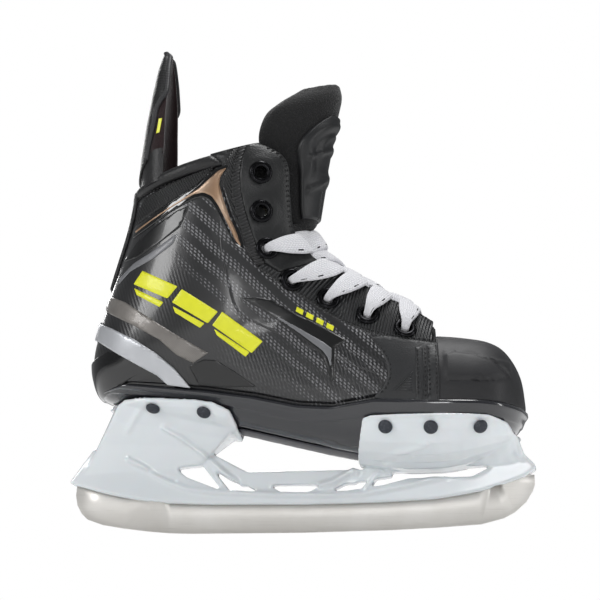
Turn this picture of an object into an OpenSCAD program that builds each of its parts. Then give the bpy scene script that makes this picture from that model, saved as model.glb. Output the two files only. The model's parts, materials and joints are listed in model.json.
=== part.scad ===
// Youth ice hockey skate, right foot: +X toe, +Y inner side of the foot, +Z up.
// The lowest point of the steel is at Z = 0.

/* [Boot] */
// Thickness of the outer shell of the boot
shell_t = 1.9; // [1.5:0.1:2.1]
// Thickness of the lacing panels
facing_t = 2.8; // [2.2:0.1:3]
// Thickness of the ankle foam
foam_t = 3.4; // [2.5:0.1:3.6]
// Thickness of the inner lining
liner_t = 1; // [0.8:0.1:1.2]
// Wall thickness of the outsole
outsole_t = 2.6; // [2.2:0.1:2.8]
// Thickness of the toe cap
cap_t = 1.9; // [1.5:0.1:2.1]
// Thickness of the removable footbed
footbed_t = 3; // [2:0.5:4]

/* [Tongue and tendon guard] */
// Thickness of the tongue felt
tongue_t = 4; // [3:0.5:5]
// Thickness of the moulded tongue guard
tongue_guard_t = 1.6; // [1.2:0.1:2]
// Thickness of the tendon guard's outer skin
tendon_t = 2; // [1.6:0.1:2.4]

/* [Lacing] */
// Radius of an eyelet's washer
eyelet_r = 5.2; // [4.8:0.1:5.4]
// Radius of the hole through an eyelet
eyelet_hole_r = 2.7; // [2.5:0.1:2.8]
// Width of the flat lace
lace_w = 8; // [7:0.5:8.5]
// Thickness of the flat lace
lace_t = 1.4; // [1.2:0.1:1.6]

/* [Holder and steel] */
// Thickness of the steel runner
steel_t = 3; // [2.8:0.1:3.2]
// Width of the holder's rail
rail_w = 9; // [8:0.5:10]
// Thickness of the holder's flanges
flange_t = 2.2; // [1.8:0.1:2.4]
// Radius of a rivet's shank
rivet_r = 1.6; // [1.4:0.1:1.8]
// Radius of the bolts that hold the steel
bolt_r = 2; // [1.8:0.1:2.2]

/* [Hidden] */
$fn = 48;

// Gap left between pieces that are glued or stitched together
gap = 0.25;
// Gap beside foam and lining, which are soft
soft_gap = 0.6;
// Gap between a hole and the pin in it
fit = 0.05;

// The boot's surface is a row of rounded sections. Each one runs from the lacing edge (x, z)
// to the line of the heel and sole (x, z), and has a half width, half the gap between the two
// lacing edges, the share of its length where it is widest, and the squareness of both halves.
boot_sections = [
    [-18, 173.6, -74.8, 156.5, 31, 24, 0.45, 2.1, 1.6],
    [-5.5, 165, -76, 147, 31.5, 23.5, 0.45, 2.1, 1.6],
    [-3.8, 149, -78.6, 135, 31.8, 21.5, 0.45, 2.1, 1.6],
    [-2, 133, -83, 120, 32.5, 19.3, 0.45, 2.2, 1.6],
    [6, 122, -89, 101, 33.5, 17, 0.45, 2.3, 1.6],
    [13, 117.6, -94, 81, 33.5, 16, 0.45, 2.4, 1.6],
    [16, 116, -93.6, 69, 33, 15.4, 0.45, 2.5, 1.6],
    [18.5, 114.8, -89, 60, 32, 15, 0.45, 2.5, 1.6],
    [21, 113.6, -77, 56.2, 30.8, 14.7, 0.46, 2.5, 1.6],
    [24.5, 111.8, -58, 51.6, 29.8, 14.3, 0.48, 2.4, 1.6],
    [31, 108.2, -22, 43.2, 30.3, 13.4, 0.52, 2.4, 1.6],
    [39, 103.7, 13, 35, 32.8, 12.4, 0.56, 2.3, 1.6],
    [48.5, 99.3, 42, 30, 34.6, 11.3, 0.6, 2.3, 1.6],
    [60, 92.5, 61, 29.7, 34.8, 9, 0.6, 2.3, 1.6]
];
toe_sections = [
    [60.6, 87.4, 61.6, 29.7, 34.8, 0, 0.56, 2.4, 2.2],
    [72, 86.4, 72, 31.2, 34, 0, 0.56, 2.4, 2.2],
    [84, 84.2, 84, 35.6, 31, 0, 0.56, 2.4, 2.2],
    [92, 79, 91.5, 39.8, 26, 0, 0.56, 2.4, 2.2],
    [98.2, 68, 97.4, 44.5, 15.5, 0, 0.55, 2.4, 2.2],
    [100.6, 53, 100.6, 52, 0.4, 0, 0.5, 2.4, 2.2]
];
// Place along the surface where the toe's sections take over from the boot's
toe_v = len(boot_sections) - 1;
tip_v = toe_v + len(toe_sections) - 1;
// Share of a section, from the lacing edge, where it is widest
wide_t = 0.42;

// Heights along the boot, as (x, z) points
welt_line = [
    [-95, 60], [-86, 63.5], [-78, 65], [-60, 63.2], [-40, 61], [-20, 58], [0, 53.6],
    [15, 52.4], [35, 55.3], [60, 54.4], [80, 54.4], [92, 53.6], [101, 52.5]
];
rear_flange_line = [
    [-92, 50], [-88.5, 56], [-84, 59.5], [-70, 60.3], [-45, 58.3], [-33, 56], [-28.5, 52],
    [-27, 46], [-26.5, 38]
];
front_flange_line = [
    [24, 26], [25, 40], [28, 47], [33, 48.5], [60, 48.5], [84, 48.5], [91, 46.5], [95, 42], [97, 34]
];
heel_panel_line = [[-98, 84], [-80, 78], [-66, 72], [-55, 64], [-45, 56]];

// Places of the pieces on the surface: (place along it, share of the section)
eyelet_places = [
    [1.25, 0.215], [2.35, 0.215], [3.5, 0.22], [5.55, 0.21], [9.2, 0.2], [10.7, 0.19], [12.02, 0.185]
];
front_rivets = [[11.85, 0.595], [12.93, 0.57], [14.63, 0.6]];
rear_rivets = [[8.47, 0.82], [9.32, 0.767]];
bolt_x = [-66, 87];

function flat(rows) = [for (row = rows) for (p = row) p];
function mix(a, b, f) = a + (b - a) * f;
function unit(p) = p / norm(p);
function reversed(list) = [for (i = [len(list) - 1:-1:0]) list[i]];
function steps(a, b, n) = [for (i = [0:n]) mix(a, b, i / n)];

// Smooth curve through the rows of a table
function table_row(table, i) =
    i < 0 ? 2 * table[0] - table[1]
    : i > len(table) - 1 ? 2 * table[len(table) - 1] - table[len(table) - 2]
    : table[i];
function spline(p0, p1, p2, p3, f) =
    0.5 * (2 * p1 + (p2 - p0) * f + (2 * p0 - 5 * p1 + 4 * p2 - p3) * f * f
        + (3 * p1 - p0 - 3 * p2 + p3) * f * f * f);
function smooth_row(table, v) =
    let (i = min(max(floor(v), 0), len(table) - 2))
    spline(table_row(table, i - 1), table_row(table, i), table_row(table, i + 1),
        table_row(table, i + 2), v - i);
function section_at(v) = v < toe_v ? smooth_row(boot_sections, v) : smooth_row(toe_sections, v - toe_v);

// A point of the outer (lateral) half of the surface
function section_point(s, t) =
    let (upper = t < wide_t)
    let (turn = upper ? 90 * (1 - t / wide_t) : 90 * (t - wide_t) / (1 - wide_t))
    let (power = 2 / (upper ? s[8] : s[7]))
    let (rise = max(0, sin(turn)) ^ power)
    let (side = max(0, cos(turn)) ^ power)
    let (along = upper ? s[6] * (1 - rise) : mix(s[6], 1, rise))
    let (half = upper ? mix(s[5], s[4], side) : s[4] * side)
    [mix(s[0], s[2], along), -half, mix(s[1], s[3], along)];
function skin_point(v, t) = section_point(section_at(v), t);
function flip(p) = [p[0], -p[1], p[2]];
function slope(v, t) =
    t > 0.995 ? [0, 1, 0] : skin_point(v, min(t + 0.01, 1)) - skin_point(v, max(t - 0.01, 0));
function skin_normal(v, t) =
    let (low = v >= toe_v ? toe_v : 0)
    let (high = v >= toe_v ? tip_v : toe_v - 0.001)
    let (along = skin_point(min(v + 0.02, high), t) - skin_point(max(v - 0.02, low), t))
    unit(cross(slope(v, t), along));
// A point at a height d above the surface
function skin(v, t, d) = skin_point(v, t) + d * skin_normal(v, t);

// The share of a section at which it drops under a line of heights
function level(v, line, a = 0.05, b = 1, n = 16) =
    n == 0 ? (a + b) / 2
    : let (m = (a + b) / 2, p = skin_point(v, m))
    p[2] > lookup(p[0], line) ? level(v, line, m, b, n - 1) : level(v, line, a, m, n - 1);

// Rows of points at height d, one row for each v, from share a to share b of the section
function half_rows(places, ranges, count, d) =
    [for (i = [0:len(places) - 1])
        [for (t = steps(ranges[i][0], ranges[i][1], count)) skin(places[i], t, d)]];
// The same, carried on over the sole or the heel to the other side
function mirrored(rows) =
    [for (row = rows) concat(row, [for (j = [len(row) - 2:-1:0]) flip(row[j])])];

// Closed solids from grids of points. Faces turn themselves outwards.
function face_volume(p, faces) =
    [for (f = faces) cross(p[f[0]], p[f[1]]) * p[f[2]]] * [for (f = faces) 1];
function turned(faces) = [for (f = faces) [f[2], f[1], f[0]]];
module closed(points, faces)
    polyhedron(points, face_volume(points, faces) > 0 ? turned(faces) : faces);

function sheet_faces(rows, cols, start, up) = [
    for (i = [0:rows - 2]) for (j = [0:cols - 2])
        let (a = start + i * cols + j, b = a + 1, c = a + cols, d = c + 1)
        each up ? [[a, b, d], [a, d, c]] : [[a, d, b], [a, c, d]]
];
function rim(rows, cols) = concat(
    [for (j = [0:cols - 1]) j],
    [for (i = [1:rows - 1]) i * cols + cols - 1],
    [for (j = [cols - 2:-1:0]) (rows - 1) * cols + j],
    [for (i = [rows - 2:-1:1]) i * cols]
);
function wall_faces(lower, upper) = [
    for (k = [0:len(lower) - 1])
        let (n = (k + 1) % len(lower))
        each [[lower[k], upper[n], lower[n]], [lower[k], upper[k], upper[n]]]
];
// Solid between two grids with the same number of rows and columns
module slab(top, bottom) {
    rows = len(top);
    cols = len(top[0]);
    size = rows * cols;
    edge = rim(rows, cols);
    closed(
        concat(flat(top), flat(bottom)),
        concat(
            sheet_faces(rows, cols, 0, true),
            sheet_faces(rows, cols, size, false),
            wall_faces(edge, [for (k = edge) k + size])
        )
    );
}
// Solid that passes through a stack of grids; only their rims count between the first and last
module stack(grids) {
    rows = len(grids[0]);
    cols = len(grids[0][0]);
    size = rows * cols;
    edge = rim(rows, cols);
    last = len(grids) - 1;
    ring = len(edge);
    middle = [for (g = [1:last - 1]) let (p = flat(grids[g])) [for (k = edge) p[k]]];
    loops = concat(
        [edge],
        [for (g = [0:last - 2]) [for (k = [0:ring - 1]) 2 * size + g * ring + k]],
        [[for (k = edge) k + size]]
    );
    closed(
        concat(flat(grids[0]), flat(grids[last]), flat(middle)),
        concat(
            sheet_faces(rows, cols, 0, true),
            sheet_faces(rows, cols, size, false),
            [for (g = [0:last - 1]) each wall_faces(loops[g], loops[g + 1])]
        )
    );
}
// Round or flat tube through a list of rings
module tube(rings) {
    n = len(rings[0]);
    last = (len(rings) - 1) * n;
    closed(
        flat(rings),
        concat(
            [for (i = [0:len(rings) - 2]) for (j = [0:n - 1])
                let (a = i * n + j, b = i * n + (j + 1) % n)
                each [[a, b, b + n], [a, b + n, a + n]]],
            [for (j = [1:n - 2]) [0, j + 1, j]],
            [for (j = [1:n - 2]) [last, last + j, last + j + 1]]
        )
    );
}
// Puts a child on the surface, its Z along the surface's outward direction
module on_skin(v, t, side = -1) {
    p = skin_point(v, t);
    n = skin_normal(v, t);
    mirror([0, side > 0 ? 1 : 0, 0])
        translate(p)
            rotate([0, acos(n[2]), atan2(n[1], n[0])])
                children();
}

// ---- Upper ----

facing_rows = concat([0.02, 0.35], steps(0.75, 5.75, 10), steps(6.5, 12.5, 12), [12.97]);
facing_share = 0.35;
// Share at which the pieces behind the lacing panel start
panel_edge = facing_share + 0.012;
function facing_ranges() = [for (v = facing_rows) [0.015, facing_share]];
module facing_blank()
    slab(
        half_rows(facing_rows, facing_ranges(), 5, 0),
        half_rows(facing_rows, facing_ranges(), 5, -facing_t)
    );
module facing()
    difference() {
        facing_blank();
        for (place = eyelet_places)
            on_skin(place[0], place[1])
                translate([0, 0, -facing_t - 4])
                    cylinder(r = eyelet_barrel_r + fit, h = facing_t + 8);
    }
module facing_lateral() color([0.14, 0.14, 0.15]) facing();
module facing_medial() color([0.14, 0.14, 0.15]) mirror([0, 1, 0]) facing();

eyelet_barrel_r = eyelet_hole_r + 0.6;
eyelet_washer_t = 1;
eyelet_lift = 0.55;
module eyelet()
    rotate_extrude()
        polygon([
            [eyelet_hole_r, -facing_t - 0.9],
            [eyelet_barrel_r, -facing_t - 0.9],
            [eyelet_barrel_r, eyelet_lift],
            [eyelet_r, eyelet_lift],
            [eyelet_r, eyelet_lift + 0.4 * eyelet_washer_t],
            [eyelet_r - 0.8, eyelet_lift + eyelet_washer_t],
            [eyelet_hole_r + 0.5, eyelet_lift + eyelet_washer_t],
            [eyelet_hole_r, eyelet_lift + 0.5 * eyelet_washer_t]
        ]);
module eyelets(side)
    for (place = eyelet_places)
        on_skin(place[0], place[1], side) eyelet();
module eyelets_lateral() color([0.2, 0.2, 0.21]) eyelets(-1);
module eyelets_medial() color([0.2, 0.2, 0.21]) eyelets(1);

// The quarter drops inside the outsole below the welt
collar_v = 0.7;
quarter_rows = concat(steps(collar_v + 0.05, 5.5, 8), steps(5.8, 7.6, 9), steps(8, 12.75, 10), [12.97]);
quarter_cols = 12;
function welt_share(v) = v < 6.7 ? 1 : level(v, welt_line);
margin_drop = outsole_t + gap;
function quarter_row(v, depth) =
    let (w = min(welt_share(v) - 0.03, 0.985))
    let (drop = margin_drop * min(max(v - 6.2, 0) / 0.6, 1))
    concat(
        [for (t = steps(panel_edge, w, quarter_cols)) skin(v, t, -depth)],
        [for (t = steps(min(w + 0.012, 0.998), min(w + 0.07, 0.999), 1)) skin(v, t, -depth - drop)]
    );
module quarter()
    slab([for (v = quarter_rows) quarter_row(v, 0)], [for (v = quarter_rows) quarter_row(v, shell_t)]);
module quarter_lateral() color([0.27, 0.27, 0.28]) quarter();
module quarter_medial() color([0.27, 0.27, 0.28]) mirror([0, 1, 0]) quarter();

// Glossy overlay on each side of the heel
overlay_rows = steps(5.35, 8.5, 12);
overlay_t = 0.9;
overlay_gap = 1;
function overlay_row(v, d) =
    let (low = v < 6 ? 0.996 : min(welt_share(v), 0.99) - 0.03)
    [for (t = steps(min(level(v, heel_panel_line), low - 0.02), low, 7)) skin(v, t, d)];
module heel_overlay()
    slab(
        [for (v = overlay_rows) overlay_row(v, overlay_gap + overlay_t)],
        [for (v = overlay_rows) overlay_row(v, overlay_gap)]
    );
module heel_overlay_lateral() color([0.08, 0.08, 0.09]) heel_overlay();
module heel_overlay_medial() color([0.08, 0.08, 0.09]) mirror([0, 1, 0]) heel_overlay();

collar_rows = steps(0.02, collar_v, 3);
collar_in = shell_t + foam_t + liner_t + soft_gap + gap;
function collar_grid(d) = mirrored(half_rows(collar_rows, [for (v = collar_rows) [panel_edge, 1]], 12, d));
module collar()
    color([0.11, 0.11, 0.12])
        slab(collar_grid(0.3), collar_grid(-collar_in));

foam_rows = concat(steps(collar_v + 0.05, 5.5, 6), steps(5.8, 7.6, 6), steps(8.2, 10.25, 4));
function foam_range(v) = [facing_share + 0.03, v < 5.9 ? 0.985 : min(welt_share(v), 0.99) - 0.07];
function foam_grid(d) = half_rows(foam_rows, [for (v = foam_rows) foam_range(v)], 8, d);
module ankle_foam()
    slab(foam_grid(-shell_t - soft_gap), foam_grid(-shell_t - soft_gap - foam_t));
module ankle_foam_lateral() color([0.75, 0.72, 0.6]) ankle_foam();
module ankle_foam_medial() color([0.75, 0.72, 0.6]) mirror([0, 1, 0]) ankle_foam();

liner_rows = concat(steps(collar_v + 0.05, 5.5, 6), steps(5.8, 7.6, 6), steps(8.2, 12.75, 7));
liner_d = shell_t + foam_t + 2 * soft_gap;
function liner_range(v) =
    [facing_share + 0.03, v < 5.9 ? 0.98 : v < 8 ? 0.9 : min(welt_share(v) + 0.1, 0.8)];
function liner_grid(d) = half_rows(liner_rows, [for (v = liner_rows) liner_range(v)], 8, d);
module liner()
    slab(liner_grid(-liner_d), liner_grid(-liner_d - liner_t));
module liner_lateral() color([0.16, 0.14, 0.15]) liner();
module liner_medial() color([0.16, 0.14, 0.15]) mirror([0, 1, 0]) liner();

// The toe cap's rows run over the top from one welt to the other
cap_rows = concat(steps(toe_v + 0.01, tip_v - 1.2, 8), steps(tip_v - 1, tip_v - 0.1, 5));
function over_top(rows) =
    [for (row = rows) concat(reversed(row), [for (j = [1:len(row) - 1]) flip(row[j])])];
function cap_grid(d, lift) =
    over_top([for (v = cap_rows) [for (t = steps(0, level(v, welt_line, 0) - lift, 9)) skin_top(v, t, d)]]);
// On the middle line the surface faces straight up and forwards
function skin_top(v, t, d) =
    let (p = skin_point(v, t), n = skin_normal(v, max(t, 0.03)))
    t > 0.001 ? p + d * n : [p[0], 0, p[2]] + d * unit([n[0], 0, n[2]]);
module toe_cap()
    color([0.24, 0.24, 0.25])
        slab(cap_grid(0, 0.012), cap_grid(-cap_t, 0.012));
module toe_lining()
    color([0.35, 0.35, 0.34])
        slab(cap_grid(-cap_t - gap, 0.02), cap_grid(-cap_t - gap - 1.5, 0.02));

// ---- Sole ----

sole_rows = concat(
    steps(7.05, 12.75, 12), steps(toe_v + 0.1, tip_v - 1.1, 7), steps(tip_v - 0.9, tip_v - 0.08, 5)
);
function sole_grid(rows, drop, count, d) =
    mirrored([for (v = rows) [for (t = steps(level(v, welt_line) + drop, 1, count)) skin(v, t, d)]]);
module outsole()
    color([0.23, 0.23, 0.27])
        difference() {
            slab(sole_grid(sole_rows, 0, 9, 0.5), sole_grid(sole_rows, 0, 9, 0.5 - outsole_t));
            rivet_holes();
        }
module rivet_holes()
    for (side = [-1, 1])
        for (place = concat(front_rivets, rear_rivets))
            on_skin(place[0], place[1], side)
                translate([0, 0, -6])
                    cylinder(r = rivet_r + fit, h = 14);

board_rows = concat(steps(8, 12.75, 8), steps(toe_v + 0.1, tip_v - 1.3, 6));
function board_grid(d) = mirrored([for (v = board_rows) [for (t = steps(0.84, 1, 4)) skin(v, t, d)]]);
board_d = outsole_t + 1.2;
board_t = 1.4;
module lasting_board()
    color([0.55, 0.45, 0.32])
        slab(board_grid(-board_d), board_grid(-board_d - board_t));
footbed_d = board_d + board_t + gap;
module footbed()
    color([0.3, 0.3, 0.32])
        slab(board_grid(-footbed_d), board_grid(-footbed_d - footbed_t));

// ---- Holder and steel ----

flange_d = 1.1;
function flange_grid(rows, line, d) =
    mirrored([for (v = rows) [for (t = steps(level(v, line), 1, 6)) skin(v, t, d)]]);
rear_flange_rows = concat([7.28], steps(7.6, 9.6, 8), [9.78, 9.88]);
front_flange_rows = concat(
    [11.42, 11.55], steps(11.8, 12.8, 4), steps(toe_v + 0.1, toe_v + 3.4, 7), [toe_v + 3.75]
);
front_pedestal_rows = concat([11.55], steps(11.8, 12.8, 3), steps(toe_v + 0.1, toe_v + 3.5, 5));
module flange(rows, line)
    slab(flange_grid(rows, line, flange_d), flange_grid(rows, line, flange_d + flange_t));

// A pedestal runs from the underside of the boot down to the rail
function pedestal_top(rows, share) =
    mirrored([for (v = rows) [for (t = steps(share, 1, 2)) skin(v, t, flange_d + 0.85 * flange_t)]]);
function pedestal_level(top, x0, x1, z0, z1, half, f) =
    [for (i = [0:len(top) - 1])
        let (g = i / (len(top) - 1), base = [mix(x0, x1, g), 0, mix(z0, z1, g)])
        [for (p = top[i])
            let (side = p[1] / max(abs(top[i][0][1]), 1))
            [mix(p[0], base[0], f), mix(p[1], side * half, 1 - (1 - f) ^ 2), mix(p[2], base[2], f)]]];
module pedestal(rows, share, x0, x1, z0, z1) {
    top = pedestal_top(rows, share);
    stack([for (f = [0, 0.25, 0.55, 1]) pedestal_level(top, x0, x1, z0, z1, rail_w / 2, f)]);
}

rail_low = [
    [-105, 23], [-102, 21.7], [-90, 18.2], [-80, 15.9], [-70, 14.2], [-60, 13.2], [-40, 12.4],
    [0, 12.1], [20, 12.3], [40, 12.9], [60, 14], [70, 15.5], [80, 17.3], [90, 20.2], [100, 23.7],
    [105, 27.5]
];
rail_high = [
    [103.5, 30], [98, 35], [88, 30], [76, 24], [48, 23.5], [36, 20.5], [20, 18.2], [0, 17.4],
    [-20, 17.6], [-38, 19.5], [-52, 25], [-62, 34], [-94, 38], [-103.5, 25]
];
module rail()
    rotate([90, 0, 0])
        linear_extrude(rail_w, center = true)
            polygon(concat(rail_low, rail_high));
module strut(a, b, w)
    translate(a)
        rotate(atan2(b[1] - a[1], b[0] - a[0]))
            translate([0, -w / 2])
                square([norm(b - a), w]);
module truss()
    rotate([90, 0, 0])
        linear_extrude(rail_w - 0.8, center = true) {
            strut([-60, 42.5], [-26, 24.4], 6);
            strut([-28, 24], [24, 24.4], 6.2);
            strut([-27, 25], [-8, 14.5], 4.6);
            strut([-46, 34], [-32, 16], 2.6);
            strut([40, 26.8], [20, 24], 5.2);
            strut([22, 24.6], [2, 15], 4);
            strut([33, 26], [27, 16], 2.4);
        }
module holder()
    color([0.87, 0.89, 0.9])
        difference() {
            union() {
                flange(rear_flange_rows, rear_flange_line);
                flange(front_flange_rows, front_flange_line);
                pedestal(steps(7.5, 9.75, 6), 0.85, -99, -46, 26, 30);
                pedestal(front_pedestal_rows, 0.8, 38, 101, 26, 30);
                rail();
                truss();
            }
            steel_slot();
            rivet_holes();
            for (x = bolt_x)
                translate([x, 0, 0]) {
                    cylinder(r = boss_r + fit, h = boss_top(x) + 0.5);
                    cylinder(r = bolt_r + fit, h = 70);
                    translate([0, 0, bolt_seat(x)])
                        cylinder(r = bolt_head_r + 0.3, h = 30);
                }
        }
steel_rise = 5;
module steel_slot()
    rotate([90, 0, 0])
        linear_extrude(steel_t + 0.2, center = true)
            polygon(concat(
                [for (p = rail_low) [p[0] + (p[0] < 0 ? -4 : 4) * (abs(p[0]) > 101 ? 1 : 0), p[1] - 8]],
                [for (i = [len(rail_low) - 2:-1:1])
                    [rail_low[i][0] * 0.985, rail_low[i][1] + steel_rise + 0.2]]
            ));

boss_r = 3.6;
function boss_top(x) = x < 0 ? 32 : 28.5;
function boss_base(x) = lookup(x, rail_low) + 2;
thread_depth = 8;
bolt_head_r = 3.6;
function bolt_seat(x) = x < 0 ? 47 : 31.6;
steel_low = [
    [-101.8, 21.2], [-102.2, 17.5], [-101.5, 13], [-99.5, 9.2], [-97, 6.7], [-90, 4.2], [-80, 2.5],
    [-70, 1.2], [-60, 0.3], [-50, 0], [0, 0], [40, 0.8], [60, 1.7], [80, 3], [90, 5.6], [95, 8.2],
    [100, 12.7], [103, 17.7], [104, 20.7], [103.8, 24.7]
];
module steel_plate()
    rotate([90, 0, 0])
        linear_extrude(steel_t, center = true)
            polygon(concat(
                steel_low,
                [for (i = [len(rail_low) - 3:-1:1]) [rail_low[i][0] * 0.98, rail_low[i][1] + steel_rise]]
            ));
module runner()
    color([0.8, 0.79, 0.77])
        difference() {
            union() {
                steel_plate();
                for (x = bolt_x)
                    translate([x, 0, boss_base(x)]) cylinder(r = boss_r, h = boss_top(x) - boss_base(x));
            }
            for (x = bolt_x) translate([x, 0, boss_top(x) - thread_depth]) cylinder(r = bolt_r + fit, h = 12);
        }
function bolt_end(x) = boss_top(x) - thread_depth + 0.5;
module runner_bolts()
    color([0.5, 0.5, 0.52])
        for (x = bolt_x)
            translate([x, 0, 0]) difference() {
                union() {
                    translate([0, 0, bolt_end(x)]) cylinder(r = bolt_r, h = bolt_seat(x) + 0.1 - bolt_end(x));
                    translate([0, 0, bolt_seat(x) + 0.05]) cylinder(r = bolt_head_r, h = 2.6);
                }
                translate([0, 0, bolt_seat(x) + 1.2]) cylinder(r = 1.6, h = 3, $fn = 6);
            }

rivet_seat = flange_d + flange_t + 0.35;
rivet_end = 0.5 - outsole_t - 0.5;
module rivet() {
    translate([0, 0, rivet_end - 1]) cylinder(r = rivet_r, h = rivet_seat - rivet_end + 1.2);
    translate([0, 0, rivet_seat])
        rotate_extrude()
            polygon([[0, 0], [3.2, 0], [3.1, 0.5], [2.3, 1.1], [0, 1.4]]);
}
module rivets(places)
    color([0.16, 0.17, 0.19])
        for (side = [-1, 1]) for (place = places) on_skin(place[0], place[1], side) rivet();
module rivets_front() rivets(front_rivets);
module rivets_rear() rivets(rear_rivets);
module rivet_washers()
    color([0.6, 0.5, 0.35])
        for (side = [-1, 1]) for (place = concat(front_rivets, rear_rivets))
            on_skin(place[0], place[1], side)
                translate([0, 0, rivet_end - 0.6])
                    difference() {
                        cylinder(r = 3, h = 0.6);
                        translate([0, 0, -1]) cylinder(r = rivet_r + fit, h = 3);
                    }

// ---- Tongue ----

// The lower part lies under the lacing panels, with room for the lace between them
tongue_d = facing_t + 3.2;
tongue_share = 0.24;
tongue_rows = concat([2.8, 3.1], steps(3.5, 6, 5), steps(6.75, 12.7, 7));
// Height of its middle above its edges, along the boot
tongue_crown = [[2.7, 13.6], [3, 12.6], [4, 9.2], [6, 6.8], [10, 6], [13, 5.4]];
function forward(v) = let (n = skin_normal(v, 0.02)) unit([n[0], 0, n[2]]);
// A point over the gap between the panels: f is -1 and 1 at the edges, d the height over them
function throat_point(v, f, d) =
    let (s = section_at(v))
    [s[0], f * s[5], s[1]] + d * forward(v);
function tongue_lift(v, f) = lookup(v, tongue_crown) * (1 - f * f) - tongue_d;
function tongue_row(v, d) =
    let (half = concat(
        [for (t = steps(tongue_share, 0.05, 3)) skin(v, t, -tongue_d - d)],
        [for (f = [-0.92, -0.7, -0.36]) throat_point(v, f, tongue_lift(v, f) - d)]
    ))
    concat(half, [throat_point(v, 0, tongue_lift(v, 0) - d)], [for (j = [len(half) - 1:-1:0]) flip(half[j])]);
module tongue_base()
    color([0.13, 0.13, 0.14])
        slab([for (v = tongue_rows) tongue_row(v, 0)], [for (v = tongue_rows) tongue_row(v, tongue_t - 1)]);

// Upper part: middle line (x, z), direction of the face above +X, half width, wrap depth
tongue_path = [
    [6.4, 138.6, 8, 16, 10],
    [7.6, 146, 8, 18.5, 14],
    [9.2, 156, 8, 20, 17],
    [11.2, 167, 8, 21.5, 21],
    [13.6, 179, 8, 27, 29],
    [16.4, 190, 10, 26.5, 30],
    [17.3, 196.5, 12, 22, 25],
    [15.5, 201, 14, 14, 16]
];
tongue_wrap = 72;
function tongue_point(s, f, d) =
    let (n = [cos(s[2]), 0, sin(s[2])])
    let (a = f * tongue_wrap)
    [s[0], (s[3] - tongue_t + d) * sin(a) / sin(tongue_wrap), s[1]]
        + n * (d - s[4] * (1 - cos(a)) / (1 - cos(tongue_wrap)));
function tongue_grid(ks, span, d) =
    [for (k = ks) [for (f = steps(-span, span, 10)) tongue_point(smooth_row(tongue_path, k), f, d)]];
module tongue_felt() {
    ks = steps(0, len(tongue_path) - 1, 14);
    color([0.1, 0.1, 0.1])
        slab(tongue_grid(ks, 1, 0), tongue_grid(ks, 1, -tongue_t));
}
module tongue_guard() {
    ks = steps(0.4, 5.6, 9);
    color([0.18, 0.18, 0.19])
        slab(tongue_grid(ks, 0.6, gap + tongue_guard_t), tongue_grid(ks, 0.6, gap));
}

// ---- Tendon guard ----

// Bottom z at the middle, top z, back x, front edge x and half width, for each share of height
tendon_half = [[0, 27.5], [0.35, 25.5], [0.6, 22], [0.8, 17], [0.93, 11], [1, 5.5]];
tendon_back = [[0, -74.6], [0.15, -73.5], [0.4, -70.8], [0.65, -67.2], [0.85, -63.8], [1, -60.2]];
tendon_edge = [[0, -60.5], [0.35, -59.8], [0.6, -58.6], [1, -57]];
tendon_z = [158, 217];
tendon_edge_rise = 11;
function tendon_point(f, a, d) =
    let (w = lookup(f, tendon_half) - d)
    let (back = lookup(f, tendon_back) + d)
    let (front = lookup(f, tendon_edge))
    let (low = tendon_z[0] + tendon_edge_rise * sin(a) ^ 2)
    [mix(front, back, max(cos(a), 0) ^ 0.8), w * sin(a), mix(low, tendon_z[1] + 2 * (1 - cos(a)), f)];
function tendon_grid(d) = [for (f = steps(0, 1, 8)) [for (a = steps(-90, 90, 14)) tendon_point(f, a, d)]];
module tendon_guard()
    color([0.12, 0.12, 0.13])
        slab(tendon_grid(0), tendon_grid(tendon_t));
module tendon_guard_lining()
    color([0.22, 0.08, 0.09])
        slab(tendon_grid(tendon_t + gap), tendon_grid(tendon_t + gap + 1.8));

// ---- Lace ----

// A stop on the lace: its middle, the direction its width lies in, its width and thickness
function along_skin(v, t) = skin_point(v + 0.05, t) - skin_point(v - 0.05, t);
function skin_stop(v, t, d, w, h) = [skin(v, t, d), along_skin(v, t), w, h];
function throat_stop(v, f, d) =
    let (s = section_at(v + 0.05) - section_at(v - 0.05))
    [throat_point(v, f, d), [s[0], 0, s[1]], lace_w, lace_t];
function other_side(stop) = [flip(stop[0]), flip(stop[1]), stop[2], stop[3]];
function sided(stops, side) = [for (p = stops) side < 0 ? p : other_side(p)];
bunch_w = 3.6;
bunch_t = 1.8;
lace_under = facing_t + 1.4;
// Up through an eyelet and back over the edge of the panel, or the same downwards
function eyelet_out(place) = [
    skin_stop(place[0], 0.09, -lace_under, 6.5, lace_t),
    skin_stop(place[0], place[1] - 0.02, -facing_t - 1.9, bunch_w, 1.8),
    skin_stop(place[0], place[1], -facing_t, bunch_w, bunch_t),
    skin_stop(place[0], place[1], 1, bunch_w, bunch_t),
    skin_stop(place[0], place[1] - 0.025, 3.2, 5, 1.8),
    skin_stop(place[0], 0.08, 2.2, lace_w, lace_t),
    skin_stop(place[0], 0.015, 1.6, lace_w, lace_t)
];
// Across the tongue, over or under the other strand, from f = -1 to 1
function across(va, vb, d) = [
    for (f = [-0.75, -0.3, 0.3, 0.8])
        let (v = mix(va, vb, (f + 1) / 2))
        throat_stop(v, f, f < -0.5 ? 1.8 : tongue_lift(v, f) + (f > 0.5 ? low_lift : d))
];
function under_across(va, vb, d) = [
    for (f = [-0.85, -0.3, 0.3, 0.85])
        let (v = mix(va, vb, (f + 1) / 2))
        throat_stop(v, f, tongue_lift(v, f) + (abs(f) > 0.5 ? low_lift : d))
];
// The free end runs down inside the boot to a hank that lies on the footbed
hank_runs = 3;
hank_pitch = 3.4;
hank_h = hank_runs * hank_pitch;
hank_w = lace_w + 0.4;
hank_v = [8.5, 12.98];
hank_lift = footbed_d + footbed_t + 2;
hank_y = 5.2;
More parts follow.
